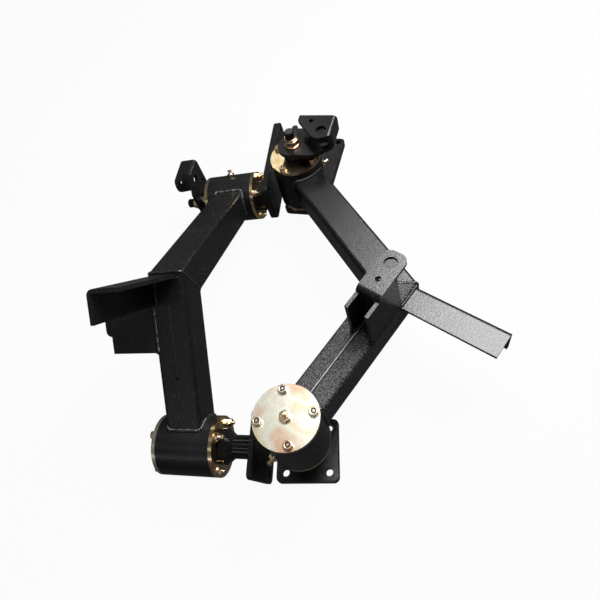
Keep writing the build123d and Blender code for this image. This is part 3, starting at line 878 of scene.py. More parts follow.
class FinishBook:
    """All finishes, built once and given to nodes and pieces by slot.

    Attributes:
        plain: The look of each slot.
        second: The look of each variant.
        special: Nodes that carry a variant, by full name or by the name without its arm.
        materials: The finished material of each slot and variant.
    """

    plain: dict[Finish, PowderCoat | YellowZinc | BareSteel | NitrileRubber] = {
        Finish.BLACK_COAT: PowderCoat(),
        Finish.YELLOW_ZINC: YellowZinc(),
        Finish.BEARING_STEEL: BareSteel(
            "ground_bearing_steel", (0.60, 0.60, 0.61), (0.44, 0.44, 0.45), 0.24
        ),
        Finish.PLATED_NUT: BareSteel(
            "bright_zinc_plate", (0.78, 0.77, 0.73), (0.58, 0.57, 0.54), 0.30
        ),
        Finish.SEAL_RUBBER: NitrileRubber(),
    }
    second: dict[Variant, PowderCoat | YellowZinc] = {
        # On the welds the grain is raised for brighter painted glints.
        Variant.OVER_WELD: PowderCoat(
            "powder_coat_over_welds", roughness=0.14, peel=0.00012, edge=0.5, grain=0.04
        ),
        Variant.ON_TURNED_STEEL: PowderCoat(
            "powder_coat_on_turned_steel", roughness=0.09, peel=0.00004, edge=0.4, grain=0.004
        ),
        # The coarse grain paints a strong sparkle on the flat arm's near leg.
        Variant.COARSE_SPRAY: PowderCoat(
            "coarse_sprayed_powder_coat", roughness=0.20, peel=0.0024, grain=0.08
        ),
        Variant.FINE_SPRAY: PowderCoat(
            "fine_sprayed_powder_coat", roughness=0.16, peel=0.0006, grain=0.012
        ),
        Variant.SMOOTH_SPRAY: PowderCoat(
            "smooth_sprayed_powder_coat", roughness=0.31, peel=0.0002, grain=0.006
        ),
        Variant.UNRUBBED_COAT: PowderCoat(
            "unrubbed_powder_coat", roughness=0.17, peel=0.0005, edge=0.0, grain=0.006
        ),
        # Light grey coat on the flat arm's seam ridge: a painted highlight.
        Variant.PAINTED_HIGHLIGHT: PowderCoat(
            "powder_coat_painted_highlight",
            (0.25, 0.25, 0.26),
            (0.4, 0.4, 0.4),
            roughness=0.3,
            peel=0.0002,
            grain=0.3,
        ),
        # Near-black dull coat laid where there is only shade: painted shade beside the seam and in
        # the screw heads' recesses.
        Variant.PAINTED_SHADE: PowderCoat(
            "near_black_shade_coat",
            (0.002, 0.002, 0.002),
            roughness=0.8,
            peel=0.0002,
            edge=0.0,
            grain=0.002,
        ),
        Variant.PALE_FILM: YellowZinc(
            "pale_chromated_zinc", (0.90, 0.90, 0.77), (0.85, 0.72, 0.49), (0.78, 0.53, 0.36), 0.27
        ),
        Variant.ROSE_FILM: YellowZinc(
            "rose_chromated_zinc", (0.95, 0.84, 0.66), (0.88, 0.66, 0.40), (0.80, 0.47, 0.32), 0.20
        ),
    }
    special: dict[str, Variant] = {
        "near_spindle": Variant.ON_TURNED_STEEL,
        "far_spindle": Variant.ON_TURNED_STEEL,
        "spacer_sleeve": Variant.ON_TURNED_STEEL,
        "near_housing": Variant.SMOOTH_SPRAY,
        "far_housing": Variant.SMOOTH_SPRAY,
        "peg": Variant.FINE_SPRAY,
        "clevis_bracket": Variant.FINE_SPRAY,
        "lever": Variant.UNRUBBED_COAT,
        "near_cap": Variant.PALE_FILM,
        "flat_near_leg": Variant.COARSE_SPRAY,
    }

    def __init__(self) -> None:
        """Builds the shared groups and one material for each look."""
        build_edge_wear()
        build_orange_peel()
        build_chromate_film()
        self.materials = {key: look.build() for key, look in (self.plain | self.second).items()}

    def look(self, finish: Finish, variant: Variant | None) -> bpy.types.Material:
        """Material of a variant, or of the finish where there is no variant."""
        return self.materials[variant or finish]

    def dress_nodes(self, frame: dict) -> None:
        """Puts the finishes on the CAD nodes by the record's slots.
        """
        for entry in frame["record"]["subparts"]:
            name = entry["node"]
            finish = Finish(entry["material_slot"])
            variant = self.special.get(name, self.special.get(name.split("_", 1)[1]))
            slots = frame["nodes"][name].data.materials
            slots.clear()
            slots.append(self.look(finish, variant))
            LOG.info("finish %s on %s", finish.value, name)


# ------------------------------------------------------------------ sub-assemblies


@dataclass
class PieceMaker:
    """Turns surfaces into pieces that ride on the frame's bodies.

    Attributes:
        finishes: The finishes that the pieces carry.
    """

    finishes: FinishBook

    def make(
        self,
        name: str,
        surface: Surface,
        finish: Finish,
        body: str,
        replaced: Sequence[str] = (),
        smooth: float = 35.0,
        variant: Variant | None = None,
    ) -> bpy.types.Object:
        """Makes one piece.

        Args:
            name: Name of the piece.
            surface: Its surface, in the row frame.
            finish: Its finish.
            body: The body that it rides on.
            replaced: CAD nodes that it stands for.
            smooth: Angle in degrees above which an edge stays sharp.
            variant: Look to use in place of the finish's own.

        Returns:
            The new object.
        """
        mesh = bpy.data.meshes.new(name)
        faces = surface.quads.tolist() + [fan.tolist() for fan in surface.fans]
        mesh.from_pydata(surface.points.tolist(), [], faces)
        mesh.validate()
        mesh.shade_smooth()
        mesh.set_sharp_from_angle(angle=math.radians(smooth))
        made = bpy.data.objects.new(name, mesh)
        bpy.context.scene.collection.objects.link(made)
        mesh.materials.append(self.finishes.look(finish, variant))
        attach(made, body)
        if replaced:
            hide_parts(*replaced)
        LOG.info("piece %s: %d points, rides on %s", name, len(surface.points), body)
        return made

    def weld(self, name: str, surface: Surface, body: str) -> bpy.types.Object:
        """Makes one coated weld bead."""
        return self.make(
            name, surface, Finish.BLACK_COAT, body, smooth=60.0, variant=Variant.OVER_WELD
        )

    def coated(
        self, name: str, surface: Surface, body: str, variant: Variant, smooth: float = 35.0
    ) -> bpy.types.Object:
        """Makes one piece in a variant of the black coat."""
        return self.make(name, surface, Finish.BLACK_COAT, body, (), smooth, variant)

    def fitting(
        self, name: str, surface: Surface, body: str, node: str, variant: Variant | None = None
    ) -> bpy.types.Object:
        """Makes one zinc-plated fitting in place of its plain node."""
        return self.make(name, surface, Finish.YELLOW_ZINC, body, [node], 28.0, variant)


@dataclass
class ArmFrame:
    """Where one arm lies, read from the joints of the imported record.

    Attributes:
        name: Name of the arm.
        frame: 4 by 4 matrix from the arm's own frame to the row frame.
        span: Distance between the pivots.
        up: 1 where the caps look along the swing axis, -1 where they look against it.
        plate_turn: Turn of the long plate in degrees.
    """

    name: str
    frame: np.ndarray
    span: float
    up: float
    plate_turn: float

    @classmethod
    def from_joints(
        cls, name: str, joints: Sequence[dict], up: float, plate_turn: float
    ) -> "ArmFrame":
        """Frame whose Y runs from pivot to pivot and whose Z is the swing axis times up.

        Args:
            name: Name of the arm.
            joints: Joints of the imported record.
            up: 1 where the caps look along the swing axis, -1 where they look against it.
            plate_turn: Turn of the long plate in degrees.

        Returns:
            The arm's frame.
        """
        by_name = {joint["name"]: joint for joint in joints}
        swing = by_name[f"{name}_arm_swing"]
        near = np.array(swing["pos_m"], float)
        far = np.array(by_name[f"{name}_long_plate_turn"]["pos_m"], float)
        z = up * np.array(swing["axis"], float)
        y = far - near
        frame = placed(near, np.cross(y, z), z)
        return cls(name, frame, float(np.linalg.norm(y)), up, plate_turn)

    def body(self, part: str) -> str:
        """Name of one of the arm's bodies."""
        return f"{self.name}_{part}"

    def at(self, local: np.ndarray) -> np.ndarray:
        """Matrix of a frame given in the arm's own frame."""
        return self.frame @ local

    def along(self, pivot: Pivot) -> float:
        """Place of a pivot along the arm's own Y."""
        return 0.0 if pivot is Pivot.NEAR else self.span


@dataclass
class BentArm:
    """The two mitred tubes and their welds.

    Attributes:
        apex: Bend in the arm's own frame.
        tube: Outside width of the tube.
        corner: Outside corner radius of the tube.
        housing: Outside radius of a housing.
        cope_size: Half width of the bead round a housing's end of a tube.
        cope_rise: How far that bead stands off the tube.
        cope_lean: How far that bead turns along the leg.
        mitre_size: Half width of the bead round the bend.
        mitre_depth: How deep that bead lies in the tube.
        mitre_ripple: Share by which that bead, ground nearly flat, still swells.
        seam_half: Half the distance between the two lines of the tube's seam.
        ridge_size: Half width of the seam's raised line, painted light grey as a highlight on the
            flat arm.
        shade_half_width: Half width of the near-black line beside the seam's ridge, a strip of
            painted shade.
        seam_depth: Share of a line's half width that lies in the tube.
        flat_stretches: Ends of the flat arm's seam along the leg, broken at the upright.
        standing_stretches: Ends of the standing arm's seam, broken at the vent hole.
    """

    apex: tuple[float, float] = APEX
    tube: float = 0.065
    corner: float = 0.008
    housing: float = 0.052
    cope_size: float = 0.0034
    cope_rise: float = 0.0006
    cope_lean: float = 0.8
    mitre_size: float = 0.0026
    mitre_depth: float = 0.0009
    mitre_ripple: float = 0.12
    seam_half: float = 0.0011
    ridge_size: float = 0.0010
    shade_half_width: float = 0.0012
    seam_depth: float = 0.4
    flat_stretches: tuple[tuple[float, float], ...] = ((0.056, 0.2045), (0.2135, 0.256))
    standing_stretches: tuple[tuple[float, float], ...] = ((0.056, 0.1265), (0.1355, 0.256))

    def leg(self, arm: ArmFrame, pivot: Pivot) -> tuple[np.ndarray, np.ndarray]:
        """Where a leg starts and how it runs.

        Args:
            arm: Where the arm lies.
            pivot: Which end of it.

        Returns:
            The pivot point and the direction, in the plane of the arm's own frame.
        """
        start = np.array([0.0, arm.along(pivot)])
        along = np.array(self.apex) - start
        return start, along / float(np.linalg.norm(along))

    def cope_bead(self, arm: ArmFrame, pivot: Pivot) -> Surface:
        """Bead where a tube meets its housing: t(w) = sqrt(R^2 - w^2) along the leg.

        Args:
            arm: Where the arm lies.
            pivot: Which end of it.

        Returns:
            The bead, in the arm's own frame.
        """
        start, u = self.leg(arm, pivot)
        v = quarter_left(u)
        outline, out = refined(*rounded_square(self.tube / 2, self.corner))
        w, z = outline[:, 0], outline[:, 1]
        t = np.sqrt(self.housing**2 - w**2)
        path = np.column_stack([start + t[:, None] * u + w[:, None] * v, z])
        lift = np.column_stack([out[:, :1] * v + self.cope_lean * u, out[:, 1]])
        return swept_bead(path + self.cope_rise * lift, lift, self.cope_size, True)

    def mitre_bead(self, arm: ArmFrame) -> Surface:
        """Bead round the bend: w / cos(mitre) along the bisector, z across.

        Args:
            arm: Where the arm lies.

        Returns:
            The bead, in the arm's own frame.
        """
        near, far = self.leg(arm, Pivot.NEAR)[1], self.leg(arm, Pivot.FAR)[1]
        bisector = near + far
        bisector /= np.linalg.norm(bisector)
        half = (self.tube / 2) / abs(float(quarter_left(near) @ bisector))
        outline, out = refined(*rounded_square(self.tube / 2, self.corner))
        xy = np.array(self.apex) + outline[:, :1] / (self.tube / 2) * half * bisector
        path = np.column_stack([xy, outline[:, 1]])
        lift = np.column_stack([out[:, :1] * bisector, out[:, 1]])
        sunk = path - self.mitre_depth * lift
        return swept_bead(sunk, lift, self.mitre_size, True, self.mitre_ripple)

    def seam(self, arm: ArmFrame, aside: float, half: float) -> Surface:
        """One line of the near tube's scarfed seam, along the middle of one face, used both for the
        seam's ridge and for the near-black strip of painted shade beside it.

        The flat arm has it on the cap side.  The standing arm's tube is turned, so its seam is
        on the outer side.

        Args:
            arm: Where the arm lies.
            aside: Distance of the line from the middle of the face.
            half: Half width of the line.

        Returns:
            The line, in the arm's own frame.
        """
        start, u = self.leg(arm, Pivot.NEAR)
        v = quarter_left(u)
        count, ripple, pitch = 60, 0.05, 0.004
        capside = arm.up > 0
        lines = []
        for low, high in self.flat_stretches if capside else self.standing_stretches:
            middle = start + np.linspace(low, high, count)[:, None] * u
            if capside:
                path = np.column_stack([middle + aside * v, np.full(count, self.tube / 2)])
                lift = np.tile([0.0, 0.0, 1.0], (count, 1))
            else:
                path = np.column_stack([middle - self.tube / 2 * v, np.full(count, aside)])
                lift = np.tile([-v[0], -v[1], 0.0], (count, 1))
            sunk = path - self.seam_depth * half * lift
            lines.append(swept_bead(sunk, lift, half, False, ripple, pitch))
        return joined(lines)

    def build(self, arm: ArmFrame, maker: PieceMaker) -> None:
        """Makes the welds and the seam of the arm.

        Args:
            arm: Where the arm lies.
            maker: What turns surfaces into pieces.
        """
        body = arm.body("arm")
        for pivot in Pivot:
            bead = self.cope_bead(arm, pivot).moved(arm.frame)
            maker.weld(f"{arm.name}_{pivot.value}_cope_weld", bead, body)
        maker.weld(f"{arm.name}_mitre_weld", self.mitre_bead(arm).moved(arm.frame), body)
        # On the flat arm the ridge carries a painted highlight, a light grey coat; the second line
        # is a near-black strip of painted shade.
        ridge = self.seam(arm, self.seam_half, self.ridge_size).moved(arm.frame)
        shade_line = self.seam(arm, -self.seam_half, self.shade_half_width).moved(arm.frame)
        rubbed = Variant.PAINTED_HIGHLIGHT if arm.up > 0 else Variant.OVER_WELD
        maker.coated(f"{arm.name}_seam_ridge", ridge, body, rubbed)
        maker.coated(f"{arm.name}_seam_shading", shade_line, body, Variant.PAINTED_SHADE)


@dataclass
class Fasteners:
    """Screws, nuts, washers, plug and grease nipples of the housings.

    Profiles are rows of radius, height and flat distance, with zero for a round ring.

    Attributes:
        face: Height of the outer face of an end plate.
        housing: Outside radius of a housing.
        circle: Radius of the screw circle.
        screw_count: Screws in a circle.
        screw: Radius of a screw.
        across: Distance from axis to flat of a screw head.
        head: Height of a head.
        washer: Thickness of a washer.
        washer_radius: Outside radius of a washer.
        tail: Thread standing behind a nut.
        thread: Pitch and depth of a screw's thread.
        twist: Turn of the first screw's head, and of each next one, in degrees.
        recess_shade_size: Radius and half width of the near-black ring of painted shade in a head's
            recess.
        nipple_across: Distance from axis to flat of a grease nipple.
        side_nipple_scale: Size of the side nipples against the one on the plug.
        plug_across: Distance from axis to flat of the plug.
        plug_nipple: Height of the plug's nipple over the end plate.
        lever_top: Height of the lever's base plate, on top.
        washer_thick: Thickness of the washer on the lever.
        lever_washer: Outside and hole radius of that washer, and its rim radius.
        lever_nut_across: Distance from axis to flat of the locking nut.
        lever_nut_turn: Turn of the locking nut in degrees.
        turns: Turn of each screw circle in degrees.
        near_nipple_turn: Turn of the near nipple of the flat arm in degrees.
        far_nipple_turn: Turn of the far nipple of both arms in degrees.
        nipple_heights: Height of each nipple over the middle of its housing.
    """

    face: float = 0.056
    housing: float = 0.052
    circle: float = 0.043
    screw_count: int = 4
    screw: float = 0.004
    across: float = 0.0065
    head: float = 0.0055
    washer: float = 0.0014
    washer_radius: float = 0.0082
    tail: float = 0.006
    thread: tuple[float, float] = (0.00125, 0.0007)
    twist: tuple[float, float] = (17.0, 41.0)
    recess_shade_size: tuple[float, float] = (0.0032, 0.0009)
    nipple_across: float = 0.0055
    side_nipple_scale: tuple[float, float, float] = (1.25, 1.25, 1.15)
    plug_across: float = 0.0085
    plug_nipple: float = 0.0026
    lever_top: float = 0.084
    washer_thick: float = 0.004
    lever_washer: tuple[float, float, float] = (0.0162, 0.0103, 0.0009)
    lever_nut_across: float = 0.0130
    lever_nut_turn: float = 21.0
    turns: dict[Pivot, float] = field(default_factory=lambda: {Pivot.NEAR: 7.5, Pivot.FAR: 57.0})
    near_nipple_turn: float = -121.0
    far_nipple_turn: float = 28.0
    nipple_heights: dict[Pivot, float] = field(
        default_factory=lambda: {Pivot.NEAR: 0.010, Pivot.FAR: 0.0}
    )

    def washer_ring(self) -> Surface:
        """Plain washer, a short round disc with softened rims.

        Returns:
            The washer about local Z, from height zero.
        """
        r, top, soft, rim = self.washer_radius, self.washer, 0.0004, 0.0003
        rings = [(r - soft, 0, 0), (r, rim, 0), (r, top - rim, 0), (r - soft, top, 0)]
        return turned_profile(rings, 32)

    def socket_screw(self) -> Surface:
        """Hex head with a chamfered crown and a ring-shaped recess, over its washer.

        Returns:
            The head about local Z, over the plate.
        """
        a, base, top = self.across, self.washer, self.washer + self.head
        point = a / HEX_POINT
        head = [
            (a - 0.0003, base, 0),
            (a + 0.0002, base + 0.0002, 0),
            (point, base + 0.0006, a),
            (point, top - 0.0012, a),
            (point - 0.0011, top - 0.0002, a),
            (a - 0.0012, top, 0),
            (0.0040, top - 0.0003, 0),
            (0.0038, top - 0.0022, 0),
            (0.0023, top - 0.0022, 0),
            (0.0021, top - 0.0005, 0),
            (0.0006, top - 0.0004, 0),
        ]
        return joined([self.washer_ring(), turned_profile(head)])

    def recess_shade_ring(self) -> Surface:
        """Ring of painted shade, near black, that sits in a head's recess: r (cos a, sin a) at one
        height.

        Returns:
            The ring about local Z.
        """
        radius, half = self.recess_shade_size
        count, pitch, depth = 24, 0.005, 0.0004
        angle = np.linspace(0.0, TAU, count, endpoint=False)
        height = np.full(count, self.washer + self.head - depth)
        path = np.column_stack([radius * np.cos(angle), radius * np.sin(angle), height])
        return swept_bead(path, np.tile([0.0, 0.0, 1.0], (count, 1)), half, True, 0.0, pitch)

    def stud_nut(self) -> Surface:
        """Chamfered nut over a washer, with the screw's thread standing out behind it.

        Returns:
            The nut about local Z, over the plate.
        """
        a, low, high = self.across, self.washer, self.washer + (self.head + 0.0006)
        point = a / HEX_POINT
        nut = [
            (a - 0.0004, low, 0),
            (point - 0.0007, low + 0.0004, a),
            (point, low + 0.001, a),
            (point, high - 0.001, a),
            (point - 0.0009, high - 0.0004, a),
            (a - 0.0008, high, 0),
            (self.screw, high - 0.0006, 0),
        ]
        rod = threaded_rod(self.screw, low + 0.001, self.head + self.tail, *self.thread)
        return joined([self.washer_ring(), turned_profile(nut), rod])

    def screw_set(self, arm: ArmFrame, pivot: Pivot) -> tuple[Surface, Surface]:
        """All screws of a housing, with their heads on the cap side and their nuts behind.

        Args:
            arm: Where the arm lies.
            pivot: Which end of it.

        Returns:
            The screws, and the near-black rings of painted shade in their heads, in the arm's own
            frame.
        """
        screws, rings = [], []
        over = np.diag([1.0, -1.0, -1.0, 1.0])
        for step in range(self.screw_count):
            angle = math.radians(self.turns[pivot] + 360.0 / self.screw_count * step)
            x = self.circle * math.cos(angle)
            y = arm.along(pivot) + self.circle * math.sin(angle)
            twist = self.twist[0] + self.twist[1] * step
            behind = shifted(x, y, -self.face) @ over @ shifted(turn=twist)
            screws.append(self.socket_screw().moved(shifted(x, y, self.face, twist)))
            screws.append(self.stud_nut().moved(behind))
            rings.append(self.recess_shade_ring().moved(shifted(x, y, self.face)))
        return joined(screws), joined(rings)

    def nipple(self) -> Surface:
        """Grease nipple: hexagon, waist and ball head with its check ball.

        Returns:
            The nipple about local Z, over its seat.
        """
        a = self.nipple_across
        point = a / HEX_POINT
        shank = [(0.0030, -0.008, 0), (0.0030, -0.0002, 0)]
        hexagon = [(a - 0.0002, 0.0, 0), (point, 0.0005, a), (point, 0.0045, a), (a, 0.0050, 0)]
        waist = [(0.0036, 0.0051, 0), (0.0029, 0.0059, 0), (0.0025, 0.0069, 0), (0.0025, 0.0084, 0)]
        ball = [(0.0031, 0.0091, 0), (0.0037, 0.0098, 0), (0.0038, 0.0108, 0), (0.0035, 0.0118, 0)]
        mouth = [(0.0025, 0.0127, 0), (0.0013, 0.0130, 0), (0.0010, 0.0125, 0), (0.0004, 0.0128, 0)]
        return turned_profile(shank + hexagon + waist + ball + mouth, 36)

    def side_nipples(self, arm: ArmFrame) -> Surface:
        """The two nipples on the housings' sides, pointing straight out.

        Args:
            arm: Where the arm lies.

        Returns:
            Both nipples, in the arm's own frame.
        """
        near_turn = math.copysign(self.near_nipple_turn, -arm.up)
        turns = {Pivot.NEAR: near_turn, Pivot.FAR: self.far_nipple_turn}
        outward = np.array([[0, 0, 1, 0], [0, 1, 0, 0], [-1, 0, 0, 0], [0, 0, 0, 1.0]])
        scale = np.diag([*self.side_nipple_scale, 1.0])
        nipples = []
        for pivot in Pivot:
            middle = shifted(0, arm.along(pivot), self.nipple_heights[pivot], turns[pivot])
            nipples.append(self.nipple().moved(middle @ shifted(self.housing) @ outward @ scale))
        return joined(nipples)

    def plug(self) -> Surface:
        """Hex plug of the near cap with a shoulder and a nipple on top.

        Returns:
            The plug about local Z, over the cap.
        """
        a = self.plug_across
        point = a / HEX_POINT
        body = [
            (0.005, -0.0065, 0),
            (0.005, -0.0001, 0),
            (0.0098, 0.0, 0),
            (0.0098, 0.0012, 0),
            (a, 0.0013, 0),
            (point, 0.0018, a),
            (point, 0.0050, a),
            (point - 0.001, 0.0057, a),
            (a - 0.0012, 0.0060, 0),
            (0.0034, 0.0060, 0),
        ]
        return joined([turned_profile(body), self.nipple().moved(shifted(z=self.plug_nipple))])

    def locking_nut(self) -> Surface:
        """Nut of the lever stud: hexagon under a rounded collar that grips the thread.

        Returns:
            The nut about local Z, over the washer.
        """
        a = self.lever_nut_across
        point = a / HEX_POINT
        hexagon = [
            (0.0103, 0.0, 0),
            (a - 0.0002, 0.0, 0),
            (point - 0.0008, 0.0003, a),
            (point, 0.0009, a),
            (point, 0.0096, a),
            (point - 0.0012, 0.0104, a),
            (a - 0.0008, 0.0109, 0),
        ]
        curl = np.linspace(0.0, math.pi, 9)
        roll = [0.0115 + 0.0012 * np.cos(curl), 0.0144 + 0.0012 * np.sin(curl), 0.0 * curl]
        collar = [(0.0122, 0.0112, 0), *np.column_stack(roll), (0.0103, 0.0120, 0)]
        return turned_profile(hexagon + collar, 60)

    def broad_washer(self) -> Surface:
        """Washer of the lever stud with rolled rims, as a closed profile about its hole.

        Returns:
            The washer about local Z, over the lever.
        """
        r, hole, soft = self.lever_washer
        top, bend = self.washer_thick, 0.3 * soft
        lower = [(hole, 0.0, 0), (r - soft, 0.0, 0), (r - bend, bend, 0), (r, soft, 0)]
        upper = [(radius, top - height, 0) for radius, height, _ in reversed(lower)]
        return turned_profile(lower + upper, 60)

    def lever_fixings(self, arm: ArmFrame, maker: PieceMaker) -> None:
        """Makes the washer and the locking nut on the lever stud.

        Args:
            arm: Where the arm lies.
            maker: What turns surfaces into pieces.
        """
        seat = arm.at(shifted(y=arm.span, z=self.lever_top, turn=self.lever_nut_turn))
        washer = self.broad_washer().moved(seat)
        nut = self.locking_nut().moved(seat @ shifted(z=self.washer_thick))
        for part, surface in (("washer", washer), ("nut", nut)):
            name = f"{arm.name}_lever_{part}"
            maker.fitting(f"{name}_dressed", surface, arm.body("far_mount"), name)

    def build(self, arm: ArmFrame, maker: PieceMaker) -> None:
        """Makes the fasteners of one arm in place of their plain nodes.

        Args:
            arm: Where the arm lies.
            maker: What turns surfaces into pieces.
        """
        body, rose = arm.body("arm"), Variant.ROSE_FILM
        for pivot in Pivot:
            name = f"{arm.name}_{pivot.value}"
            screws, rings = (group.moved(arm.frame) for group in self.screw_set(arm, pivot))
            maker.fitting(f"{name}_screw_set", screws, body, f"{name}_screws", rose)
            # Near-black rings of painted shade in the recesses of the screw heads.
            maker.coated(f"{name}_screw_recess_shade", rings, body, Variant.PAINTED_SHADE)
        nipples = self.side_nipples(arm).moved(arm.frame)
        maker.fitting(f"{arm.name}_side_nipples", nipples, body, f"{arm.name}_grease_nipples", rose)
        self.lever_fixings(arm, maker)
        plug = self.plug().moved(arm.at(shifted(z=self.face)))
        maker.fitting(f"{arm.name}_plug_and_nipple", plug, body, f"{arm.name}_cap_plug", rose)


@dataclass
class Feet:
    """Welds of the two spindles and the thread of the lever's stud.

    Attributes:
        flange_top: Height of the square flange's upper face.
        plate_top: Height of the long plate's upper face.
        shaft: Radius of the near spindle.
        block: Half width of the square block on the long plate.
        block_corner: Corner radius of that block.
        bead: Half width of a weld bead.
        shaft_gap: How far the bead's middle lies off the spindle and off the flange.
        block_gap: How far the bead's middle lies over the long plate.
        stud: Crest radius, lower end, tip, pitch and depth of the stud's thread.
    """

    flange_top: float = -0.122
    plate_top: float = -0.075
    shaft: float = 0.020
    block: float = 0.024
    block_corner: float = 0.0015
    bead: float = 0.0036
    shaft_gap: float = 0.0012
    block_gap: float = 0.0008
    stud: tuple[float, float, float, float, float] = (0.01015, 0.1035, 0.1185, 0.0025, 0.0012)

    def shaft_bead(self) -> Surface:
        """Bead round the spindle: (r cos a, r sin a, z) lifted halfway out and up.

        Returns:
            The bead, in the arm's own frame.
        """
        count = 120
        angle = np.arange(count) * TAU / count
        radius, height = self.shaft + self.shaft_gap, self.flange_top + self.shaft_gap
        out = np.column_stack([np.cos(angle), np.sin(angle), np.ones(count)])
        path = [radius * np.cos(angle), radius * np.sin(angle), np.full(count, height)]
        return swept_bead(np.column_stack(path), out, self.bead, True)

    def block_bead(self) -> Surface:
        """Bead round the foot of the square block: its outline lifted halfway out and up.

        Returns:
            The bead about the far pivot.
        """
        outline, out = refined(*rounded_square(self.block, self.block_corner, 4))
        height = np.full(len(outline), self.plate_top + self.block_gap)
        lift = np.column_stack([out, np.ones(len(out))])
        return swept_bead(np.column_stack([outline, height]), lift, self.bead, True)

    def build(self, arm: ArmFrame, maker: PieceMaker) -> None:
        """Makes the foot welds and the stud thread of one arm.

        Args:
            arm: Where the arm lies.
            maker: What turns surfaces into pieces.
        """
        far_body, far_frame = arm.body("far_mount"), arm.at(shifted(y=arm.span))
        near = self.shaft_bead().moved(arm.frame)
        maker.weld(f"{arm.name}_flange_weld", near, arm.body("mount"))
        far = self.block_bead().moved(far_frame @ shifted(turn=arm.plate_turn))
        maker.weld(f"{arm.name}_hub_weld", far, far_body)
        thread = threaded_rod(*self.stud).moved(far_frame)
        maker.coated(f"{arm.name}_stud_thread", thread, far_body, Variant.ON_TURNED_STEEL, 28.0)


@dataclass
class BracketWelds:
    """Welds of the clevis bracket and of the angle peg, along the near leg.

    Attributes:
        leg_turn: Turn of the near leg in degrees.
        side: Height of the tube's cap-side face.
        gusset: Start of the webs along the leg.
        web_end: End of the webs along the leg, at the tube.
        back: Far face of the upright along the leg.
        plate: Thickness of the bracket's plates.
        outer: Outer face of the bracket across the leg.
        inner: Inner face of the bracket across the leg.
        corner_gap: How far the outer web's bead lies in from the tube's corner and under its face.
        corner_bead: Half width of the bead along the outer web.
        foot_bead: Half width of the beads along the inner web and round the webs' ends.
        upright_bead: Half width of the beads of the upright and of the peg's inner side.
        inside_bead: Half width of the beads between the webs.
        peg: Toe and heel of the peg along the leg.
        peg_top: Top of the peg's flat leg.
        peg_thick: Thickness of the angle section.
        peg_leg: Width of the angle section.
        peg_bead: Half width of the bead over the peg.
        peg_gap: How far that bead lies off the tube.
    """

    leg_turn: float = math.degrees(math.atan2(APEX[1], APEX[0]))
    side: float = 0.0325
    gusset: float = 0.176
    web_end: float = 0.262
    back: float = 0.212
    plate: float = 0.006
    outer: float = 0.0325
    inner: float = -0.0095
    corner_gap: tuple[float, float] = (0.0022, 0.0032)
    corner_bead: float = 0.0040
    foot_bead: float = 0.0032
    upright_bead: float = 0.0030
    inside_bead: float = 0.0026
    peg: tuple[float, float] = (0.2577, 0.3077)
    peg_top: float = 0.027
    peg_thick: float = 0.006
    peg_leg: float = 0.050
    peg_bead: float = 0.0028
    peg_gap: float = 0.0005

    def line(
        self, start: Sequence[float], end: Sequence[float], lift: Sequence[float], size: float
    ) -> Surface:
        """Straight bead p = start + s (end - start).

        Args:
            start: Where it starts.
            end: Where it ends.
            lift: Its outward direction.
            size: Its half width.

        Returns:
            The bead, in the leg's frame.
        """
        count = 40
        s = np.linspace(0.0, 1.0, count)[:, None]
        path = np.asarray(start, float) * (1 - s) + np.asarray(end, float) * s
        return swept_bead(path, np.tile(np.asarray(lift, float), (count, 1)), size, False)

    def clevis(self) -> Surface:
        """Feet of the webs and the upright, and the ends of the webs at the tube.

        Returns:
            The beads, in the leg's frame.
        """
        z, start, back, end = self.side, self.gusset, self.back, self.web_end
        front = back - self.plate
        outer, inner = -self.outer, -self.inner
        outer_in, inner_in = outer + self.plate, inner - self.plate
        foot, upright, inside = self.foot_bead, self.upright_bead, self.inside_bead
        gap, drop = self.corner_gap
        low = z - drop
        lines = [
            ((start, outer + gap, low), (end, outer + gap, low), (0, -1, 0.5), self.corner_bead),
            ((start, inner, z), (end, inner, z), (0, 1, 1), foot),
            ((back, outer_in, z), (back, inner_in, z), (1, 0, 1), upright),
            ((front, outer_in, z), (front, inner_in, z), (-1, 0, 1), upright),
        ]
        for low_x, high_x in ((start, front), (back, end)):
            lines.append(((low_x, outer_in, z), (high_x, outer_in, z), (0, 1, 1), inside))
            lines.append(((low_x, inner_in, z), (high_x, inner_in, z), (0, -1, 1), inside))
        for x, outward in ((start, -1), (end, 1)):
            lines.append(((x, outer, z), (x, outer_in, z), (outward, 0, 1), foot))
            lines.append(((x, inner_in, z), (x, inner, z), (outward, 0, 1), foot))
        return joined([self.line(*row) for row in lines])

    def peg_root(self) -> Surface:
        """Beads along both legs of the angle where it meets the tube's side.

        Returns:
            The beads, in the leg's frame.
        """
        toe, heel = self.peg
        y, inside = -self.outer, heel - self.peg_thick
        top, under, low = self.peg_top, self.peg_top - self.peg_thick, self.peg_top - self.peg_leg
        over = y - self.peg_gap
        lines = [
            ((toe, y, under), (inside, y, under), (0, -1, -1), self.upright_bead),
            ((inside, y, under), (inside, y, low), (-1, -1, 0), self.upright_bead),
            ((toe, over, top), (heel, over, top), (0, -1, 1), self.peg_bead),
        ]
        return joined([self.line(*row) for row in lines])

    def build(self, arm: ArmFrame, maker: PieceMaker) -> None:
        """Makes the bracket and peg welds of one arm.

        Args:
            arm: Where the arm lies.
            maker: What turns surfaces into pieces.
        """
        frame = arm.at(shifted(turn=self.leg_turn))
        maker.weld(f"{arm.name}_clevis_welds", self.clevis().moved(frame), arm.body("arm"))
        maker.weld(f"{arm.name}_peg_welds", self.peg_root().moved(frame), arm.body("arm"))


# ------------------------------------------------------------------ studio


